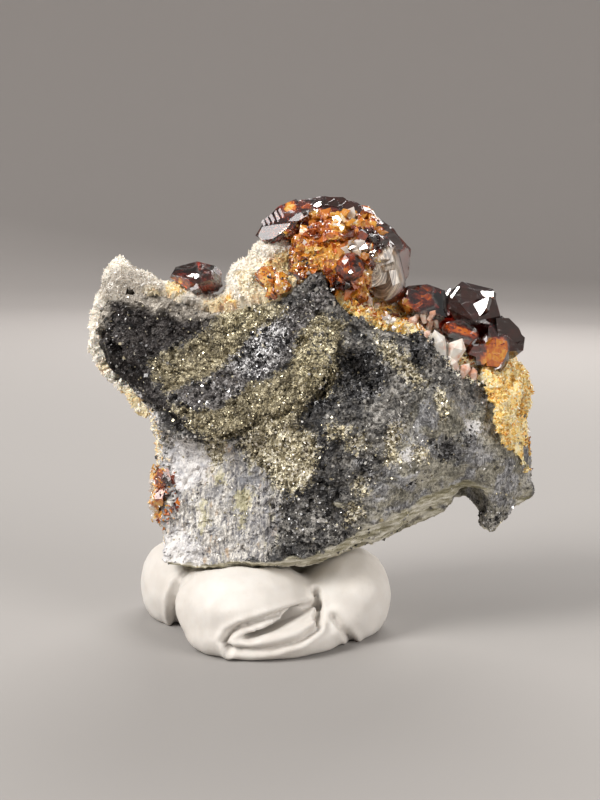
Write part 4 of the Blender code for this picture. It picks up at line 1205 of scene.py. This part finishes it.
topCluster = {
    "swell": (2.0, 0.0), "chip": (1.5, 0.42), "grain": (0.55, 0.18), "finest": 0.26,
    "broken": "289,238 299,227 310,219 313,211 345,210 358,209 373,210 375,222 387,236 387,246 381,254 "
        "375,268 369,275 373,286 371,297 363,302 341,301 329,290 325,282 317,276 306,277 294,270 289,250",
    "arcs": "377,260 385,246 396,244 404,250 408,260 406,276 398,292 389,300 375,300 369,290 373,278 369,273",
    "arcMiddle": (374, 268),
    "shards": {"spacing": 0.70, "density": 3.5e6, "smallest": 0.8, "largest": 2.5, "lean": 1.5, "sink": 0.25,
               "seed": 5},
    # Tones of the chips: 0 near black, 0.5 orange, 1 white. The near white patches, at 0.96 and 0.98, are
    # painted glints.
    "tones": [
        (0.62, "310,209 327,209 324,220 312,222"),
        (0.98, "331,215 341,215 341,227 332,226"),
        (0.98, "347,209 357,211 358,223 348,224"),
        (0.96, "343,244 362,242 378,244 379,262 368,262 360,254 344,254"),
        (0.64, "321,233 343,234 342,262 324,258"),
        (0.10, "358,228 376,230 374,242 358,242"),
        (0.03, "373,234 387,236 386,252 374,250"),
        (0.24, "327,276 355,280 354,292 330,291"),
        (0.70, "358,262 379,262 374,286 360,285"),
        (0.66, "337,290 371,290 370,303 340,303"),
        (0.74, "300,246 322,248 322,268 302,264"),
        (0.40, "300,222 330,222 330,236 300,238"),
        (0.45, "289,236 302,236 302,252 289,252")],
    "ball": {"spot": (350, 267), "reach": 2.1, "sink": 0.45, "corners": 70, "seed": 4, "ember": 0.8,
             "tone": 0.20, "dull": 0.35, "shine": 0.2,
             "outline": "337,262 344,253 357,253 366,262 366,273 358,280 344,280 337,273"},
}
# Flat growth faces on a piece: what each one mirrors, how far it leans away from that, and its outline.
growthFaces = {
    "topFaces": {"on": "topCrystals", "ember": 0.0, "tone": 0.0, "faces": [
        ("sky", (0.0, 0.0), "258,236 262,227 272,225 291,223 286,230 272,239 262,240"),
        ("sky", (0.02, 0.0), "261,222 263,219 266,224 264,227"),
        ("sky", (0.0, 0.05), "265,219 267,216 270,222 269,226"),
        ("sky", (0.0, 0.02), "269,216 271,213 275,220 273,224"),
        ("sky", (-0.02, 0.0), "274,213 276,210 280,218 278,222"),
        ("sky", (0.03, 0.02), "278,210 280,208 284,215 283,219"),
        ("sky", (0.0, 0.0), "288,221 296,214 309,210 308,215 298,221"),
        ("window", (0.0, 0.0), "313,206 316,203 321,201 321,205 316,208"),
        ("window", (0.02, 0.0), "332,217 337,215 341,219 339,226 334,225"),
        ("window", (0.0, 0.02), "348,212 353,210 357,215 354,223 349,220"),
        ("window", (0.0, -0.02), "345,247 352,244 355,247 349,250"),
        ("window", (0.02, 0.0), "357,245 366,244 368,248 360,250"),
        ("window", (-0.02, 0.0), "368,249 376,250 373,256 366,254"),
        ("sky", (0.0, 0.02), "364,257 372,259 369,265 363,262")]},
    "topDarkFaces": {"on": "topCrystals", "ember": 0.9, "tone": 0.04, "faces": [
        ("shade", (-0.1, 0.1), "321,205 325,197 343,197 351,202 349,208 336,210 323,210"),
        ("shade", (0.1, 0.1), "343,208 352,202 362,208 360,213 347,212"),
        ("shade", (0.2, -0.05), "374,223 388,226 401,240 403,249 388,247 376,237")]},
    "rightFaces": {"on": "rightCrystals", "ember": 0.0, "tone": 0.0, "faces": [
        ("window", (0.0, 0.0), "445,294 450,288 451,289 447,296"),
        ("window", (0.0, 0.0), "450,297 458,286 460,287 452,298"),
        ("window", (0.0, 0.0), "461,311 474,305 489,296 486,308 481,315 474,316"),
        ("window", (0.0, 0.0), "480,291 494,291 493,297 488,295 483,296"),
        ("sky", (0.0, 0.0), "401,291 408,286 419,285 412,289")]},
    "rightDarkFaces": {"on": "rightCrystals", "ember": 0.9, "tone": 0.03, "faces": [
        ("shade", (-0.1, 0.1), "462,287 476,292 480,298 462,307 452,304 455,295"),
        ("shade", (0.15, 0.05), "496,318 509,318 519,328 524,340 512,343 498,334")]},
    "rightAmberFaces": {"on": "rightCrystals", "ember": 0.85, "tone": 0.52, "faces": [
        ("shade", (0.0, 0.05), "487,346 494,338 507,341 508,350 501,367 487,366", 1.0, 3.0),
        ("sky", (0.05, -0.08), "490,343 494,341 504,347 502,350", 1.0, 3.0)]},
    "leftFaces": {"on": "leftCrystal", "ember": 0.0, "tone": 0.0, "faces": [
        ("window", (0.0, 0.0), "187,276 192,273 198,274 199,277 193,280 187,280"),
        ("sky", (0.0, 0.0), "188,284 197,283 199,288 191,291")]},
    "ballFaces": {"on": "redCrystal", "ember": 0.0, "tone": 0.0, "faces": [
        ("window", (0.0, 0.0), "348,271 351,270 353,272 350,274")]},
}
# What a face that mirrors no lamp looks at instead, as a place.
shade = (0.10, -0.60, 0.02)


def mirrorTo(lamp, lean):
    # The way a face looks when it mirrors the lamp into the camera.
    middle = Vector(crystals["middle"]) * mm
    toLamp = (Vector(lights[lamp]["place"] if lamp in lights else shade) - middle).normalized()
    toEye = (Vector(camera["place"]) * mm - middle).normalized()
    return ((toLamp + toEye).normalized() + Vector((lean[0], 0.0, lean[1]))).normalized()


def facesOnto(bm, cover, outline, aim, share=0.8, thickest=1.4):
    # A flat face drawn in the picture, as a slab on a plane through the crystal's surface behind it.
    # The share says how much of that surface the plane clears.
    corners = placesOf(outline)
    middle = np.mean(corners, axis=0)
    heights = []
    for x, y in [middle, *(middle + 0.8 * (corners - middle))]:
        start, look = sightLine(x, y)
        spot = cover.ray_cast(start, look)[0]
        if spot:
            heights.append(spot.dot(aim))
    if not heights:
        print("no crystal behind the face at", middle)
        return
    top = sorted(heights)[int(share * (len(heights) - 1))] + 0.05 * mm
    front = []
    for x, y in corners:
        start, look = sightLine(x, y)
        front.append(start + look * ((top - start.dot(aim)) / look.dot(aim)))
    depth = min(max(top - min(heights) + 0.2 * mm, 0.3 * mm), thickest * mm)
    hullOf(bm, front + [corner - aim * depth for corner in front])


def makeGrowthFaces(finish, made):
    for name, group in growthFaces.items():
        bm = bmesh.new()
        cover = treeOf(made[group["on"]])
        for lamp, lean, outline, *reach in group["faces"]:
            facesOnto(bm, cover, outline, mirrorTo(lamp, lean), *reach)
        piece = pieceFrom(bm, name)
        paint(piece, "ember", group["ember"])
        paint(piece, "tone", group["tone"])
        dress(piece, finish, "sphalerite")


def chipFinish():
    finish, shader, place, layer = newFinish("brokenAmber")
    tone = weighed((layer("tone"), 1.0), (layer("tint"), 0.50), (noisy(place, 1.4, 4.0), 0.4), plus=-0.50)
    fill(shader, {"Base Color": ramp(tone, warmColours), "Roughness": 0.14, "IOR": 2.37,
                  "Specular IOR Level": 0.32, "Transmission Weight": 0.40,
                  "Normal": bumped(noisy(place, 2.5), 0.3, 0.0002)})
    return finish


# Patches of amber chips on other pieces. Their tones run from deep red 0 over orange 0.5 to nearly white 1.
chipPatches = {
    "edgeChips": {"on": "bandedRock", "spacing": 0.50, "density": 7.0e6, "smallest": 0.5, "largest": 1.5,
                  "lean": 1.5, "sink": 0.15, "seed": 9, "tone": (0.48, 0.5),
                  "outlines": "150,464 168,466 178,480 181,502 174,520 162,530 152,514",
                  "tones": [(0.24, "157,476 184,474 184,500 157,502"),
                            (1.02, "138,452 176,452 172,470 156,474 155,536 138,536")]},
    "edgeCrystalChips": {"on": "edgeCrystals", "spacing": 0.28, "density": 2.0e7, "smallest": 0.35,
                         "largest": 1.0, "lean": 1.5, "sink": 0.1, "seed": 10, "tone": (0.50, 0.8),
                         "outlines": "140,456 196,456 196,536 140,536",
                         "tones": [(0.62, "150,500 176,500 176,532 150,532"),
                                   (0.22, "157,476 176,474 178,500 157,502"),
                                   (1.02, "138,452 170,452 168,470 156,474 155,536 138,536")]},
    "fanChips": {"on": "smallCrystals", "spacing": 0.26, "density": 2.2e7, "smallest": 0.3, "largest": 0.8,
                 "lean": 1.5, "sink": 0.08, "seed": 13, "tone": (0.54, 1.2),
                 "outlines": "254,258 300,258 300,302 254,302"},
    "gapChips": {"on": "topCrystals", "spacing": 0.34, "density": 1.4e7, "smallest": 0.4, "largest": 1.1,
                 "lean": 1.5, "sink": 0.05, "seed": 15, "tone": (0.62, 0.9),
                 "outlines": "283,232 292,226 303,232 310,252 316,276 306,280 290,272 284,252"},
    "crestChips": {"on": "sugaryCrust", "spacing": 0.46, "density": 8.0e6, "smallest": 0.4, "largest": 1.25,
                   "lean": 1.5, "sink": 0.0, "seed": 14, "tone": (0.60, 0.7),
                   "outlines": "338,292 366,288 404,298 436,308 444,326 420,334 392,328 362,316 340,306 / "
                       "448,350 484,352 494,388 466,388"},
}


def makeChipPatches(chips, finish, made):
    for name, patch in chipPatches.items():
        piece = addPiece(name, made[patch["on"]].data.copy())
        points, grow = patchOn(piece, patch["outlines"], 8.0)
        middle, spread = patch["tone"]
        tone = toned(middle, inPicture(points), patch.get("tones", []))
        paint(piece, "grow", grow)
        paint(piece, "tone", tone + spread * blotches(points, 1.4, 3.3))
        growCoat(piece, patch, chips, finish, "sphalerite")


def makeTopCluster(chips, amber):
    finish = sphaleriteFinish("amberSphalerite", "amber", arcs=True)
    piece = cleanCopy("sphalerite_top_cluster", "topCrystals")
    refine(piece, crystals["longest"], topCluster["finest"], topCluster["broken"])
    points, normals = surfaceOf(piece)
    spots = wandering(points, 2.5)
    front = facing(normals, 0.9)
    ball = inZone(spots, topCluster["ball"]["outline"], 3.0)
    broken = inZone(spots, topCluster["broken"], 3.0) * front * (1.0 - ball)
    paint(piece, "calm", 1.0 - broken)
    matt = ease((2.0 * mm - points[:, 1]) / (5.0 * mm))
    paint(piece, "arcs", inZone(spots, topCluster["arcs"], 2.0) * matt)
    emberLayers(piece, "sphalerite_top_cluster", 1.0)
    paint(piece, "tone", toned(painted(piece, "tone"), spots, topCluster["tones"], share=front))
    runTree(piece, relief, reliefOf(topCluster, finish))
    piece.data.shade_flat()

    shards = addPiece("amberChips", piece.data.copy())
    paint(shards, "grow", np.clip(1.0 - painted(shards, "calm"), 0.0, 1.0))
    growCoat(shards, topCluster["shards"], chips, amber, "sphalerite")
    return dress(piece, finish, "sphalerite", "sphalerite_top_cluster")


def makeBall(cover):
    # A round crystal: a hull over places spaced evenly by the golden angle, each pushed about a little.
    ball = topCluster["ball"]
    chance = random.Random(ball["seed"])
    goldenAngle = 2.399963
    middle = seenOn([cover], *ball["spot"]) + sightLine(*ball["spot"])[1] * ball["sink"] * mm
    places = []
    for corner in range(ball["corners"]):
        height = 1.0 - 2.0 * (corner + 0.5) / ball["corners"]
        turn = corner * goldenAngle + chance.uniform(-0.25, 0.25)
        flat = math.sqrt(1.0 - height * height)
        way = Vector((flat * math.cos(turn), flat * math.sin(turn), height))
        places.append(middle + way * ball["reach"] * chance.uniform(0.93, 1.0) * mm)
    bm = bmesh.new()
    hullOf(bm, places)
    piece = refine(pieceFrom(bm, "redCrystal"), 0.6)
    for name in ("ember", "tone", "dull"):
        paint(piece, name, ball[name])
    return dress(piece, sphaleriteFinish("redSphalerite", "red", ball["shine"]), "sphalerite")


# The putty, with its folds.

putty = {"voxel": 0.38, "smoothing": 14,
         "creases": [
             ("318,603 290,611 262,620 240,627 229,633 224,641 229,649", 1.5, 2.6, 0.40),
             ("229,649 250,651 272,649 300,641 318,628", 1.2, 2.6, 0.30),
             ("262,629 282,620 312,610", 0.45, 2.0, 0.20),
             ("262,640 290,634 312,626", -0.35, 4.0, 0.0),
             ("316,592 319,606 318,622", 1.8, 2.8, 0.35),
             ("190,574 177,586 172,600 173,614 177,626", 1.4, 2.8, 0.45),
             ("334,617 344,630 353,643", 0.8, 3.0, 0.40)],
         "swells": [(208, 622, 10, 30, 0.5), (250, 582, 40, 10, 0.3), (365, 592, 22, 20, 0.4)]}


def puttyFinish():
    finish, shader, place = newFinish("whitePutty")[:3]
    colour = ramp(noisy(place, 0.16, 4.0), [(0.35, 0.585, 0.548, 0.505), (0.65, 0.66, 0.632, 0.595)])
    smudge = level(noisy(place, 0.5, 6.0, 0.7), 0.58, 0.75, 0.0, 0.35)
    prints = put("ShaderNodeTexWave", {"Vector": place, "Scale": 0.62, "Distortion": 3.0, "Detail": 2.0,
                                       "Detail Scale": 0.5}).outputs["Fac"]
    height = weighed((prints, 0.07), (noisy(place, 0.5, 4.0), 0.6), (noisy(place, 3.0, 5.0), 0.3))
    fill(shader, {"Base Color": blend(smudge, colour, (0.49, 0.452, 0.405, 1.0)), "Roughness": 0.6,
                  "Subsurface Weight": 0.12, "Subsurface Radius": (0.0012, 0.0009, 0.0007),
                  "Normal": bumped(height, 0.2, 0.0002)})
    return finish


def makePutty():
    piece = softCopy("mounting_putty", "foldedPutty", putty)
    shapeByPicture(piece, putty["creases"], putty["swells"])
    changed(piece, "SMOOTH", iterations=2, factor=0.5)
    piece.data.shade_smooth()
    dress(piece, puttyFinish(), "putty", "mounting_putty")


# The stage and the light.

studio = {"floorRadius": 0.55, "wallRadius": 0.95, "wallTop": 1.1, "floorColour": (0.305, 0.29, 0.278),
          "wallColour": (0.40, 0.375, 0.36)}


def makeStage():
    # A round floor that curves up into a wall.
    bm = bmesh.new()
    profile = [(0.0, 0.0), (studio["floorRadius"], 0.0)]
    corner = studio["wallRadius"] - studio["floorRadius"]
    for angle in range(10, 91, 10):
        turn = math.radians(angle)
        profile.append((studio["floorRadius"] + corner * math.sin(turn), corner * (1.0 - math.cos(turn))))
    profile.append((studio["wallRadius"], studio["wallTop"]))
    verts = [bm.verts.new((reach, 0.0, height)) for reach, height in profile]
    edges = [bm.edges.new(pair) for pair in zip(verts, verts[1:])]
    bmesh.ops.spin(bm, geom=verts + edges, cent=(0, 0, 0), axis=(0, 0, 1), angle=math.tau, steps=72,
                   use_duplicate=False)
    bmesh.ops.remove_doubles(bm, verts=bm.verts[:], dist=1e-5)
    floor = pieceFrom(bm, "studioFloor")
    floor.data.shade_smooth()
    finish, shader, place = newFinish("palePaper")[:3]
    away = calc("DIVIDE", vectorCalc("LENGTH", place), 1000.0)
    near = ramp(away, [(0.10, *studio["floorColour"]), (0.60, *studio["wallColour"])], "EASE")
    fill(shader, {"Base Color": near, "Roughness": 0.9})
    floor.data.materials.append(finish)


lights = {
    "window": {"place": (-0.42, -0.30, 0.42), "size": (0.24, 0.30), "power": 4.5,
        "colour": (1.0, 0.98, 0.95)},
    "sky": {"place": (-0.55, -0.15, 0.78), "size": (0.60, 0.50), "power": 2.8,
        "colour": (1.0, 0.98, 0.97)},
    "rightFill": {"place": (0.46, -0.30, 0.26), "size": (0.32, 0.32), "power": 2.3,
        "colour": (1.0, 0.97, 0.94)},
    "behind": {"place": (0.10, 0.42, 0.34), "size": (0.40, 0.30), "power": 2.4,
        "colour": (1.0, 0.98, 0.96)},
}
air = {"colour": (1.0, 0.98, 0.97), "strength": 0.24}


def makeLights():
    for name, light in lights.items():
        data = bpy.data.lights.new(name, "AREA")
        data.shape = "RECTANGLE"
        data.size, data.size_y = light["size"]
        data.energy = light["power"]
        data.color = light["colour"]
        lamp = bpy.data.objects.new(name, data)
        bpy.context.scene.collection.objects.link(lamp)
        place = Vector(light["place"])
        aim = (Vector((0.0, 0.0, 0.03)) - place).to_track_quat("-Z", "Y")
        lamp.matrix_world = Matrix.Translation(place) @ aim.to_matrix().to_4x4()
        lamp.visible_camera = False
    world = bpy.data.worlds.new("studioAir")
    world.use_nodes = True
    fill(world.node_tree.nodes["Background"], {"Color": (*air["colour"], 1.0), "Strength": air["strength"]})
    bpy.context.scene.world = world
    bpy.context.scene.view_settings.view_transform = "Standard"


def main():
    makeCamera()
    makeStage()
    makeLights()
    bandedRock = makeRock()
    rockTree = treeOf(bandedRock)
    points = shapeSet("quartzGrain", [quartzTip(6, 0.58, 1), quartzTip(5, 0.50, 2), shard(21, 8, 0.85),
                                      shard(22, 7, 0.95)])
    chips = shapeSet("amberChip", [shard(2, 8, 0.8), shard(3, 9, 0.6), shard(5, 10, 0.9), shard(7, 8, 0.5)])
    white = quartzFinish("sugaryQuartz", False)
    sugaryCrust = makeCrust("quartz_druse", "sugaryCrust", quartz, white, "quartz", points, rockTree)
    rusty = quartzFinish("ironStainedGrains", True)
    makeCrust("stained_crust", "stainedCrust", stain, rusty, "stained_quartz", points, rockTree)
    makeEdgeGrains(points, white, bandedRock)
    ore = shapeSet("oreGrain", [shard(12, 8, 0.9), shard(13, 7, 0.8), block(0.42, 0.36, 0.30)])
    makeLooseGrains(ore, bandedRock)
    dark = sphaleriteFinish("darkSphalerite", "dark")
    amber = chipFinish()
    topCrystals = makeTopCluster(chips, amber)
    made = {"bandedRock": bandedRock, "sugaryCrust": sugaryCrust, "topCrystals": topCrystals}
    names = {"right_cluster": "rightCrystals", "left_crystal": "leftCrystal",
             "small_cluster": "smallCrystals", "edge_cluster": "edgeCrystals"}
    names.update({"back_cluster_%d" % number: "backCrystals%d" % number for number in range(1, 5)})
    for number, (node, name) in enumerate(names.items()):
        made[name] = makeCluster("sphalerite_" + node, name, dark, 2.0 + number)
    made["redCrystal"] = makeBall(treeOf(topCrystals))
    makeGrowthFaces(dark, made)
    covers = ("bandedRock", "sugaryCrust", "rightCrystals", "topCrystals")
    makeClearQuartz(*[treeOf(made[name]) for name in covers])
    makeChipPatches(chips, amber, made)
    makePutty()


main()
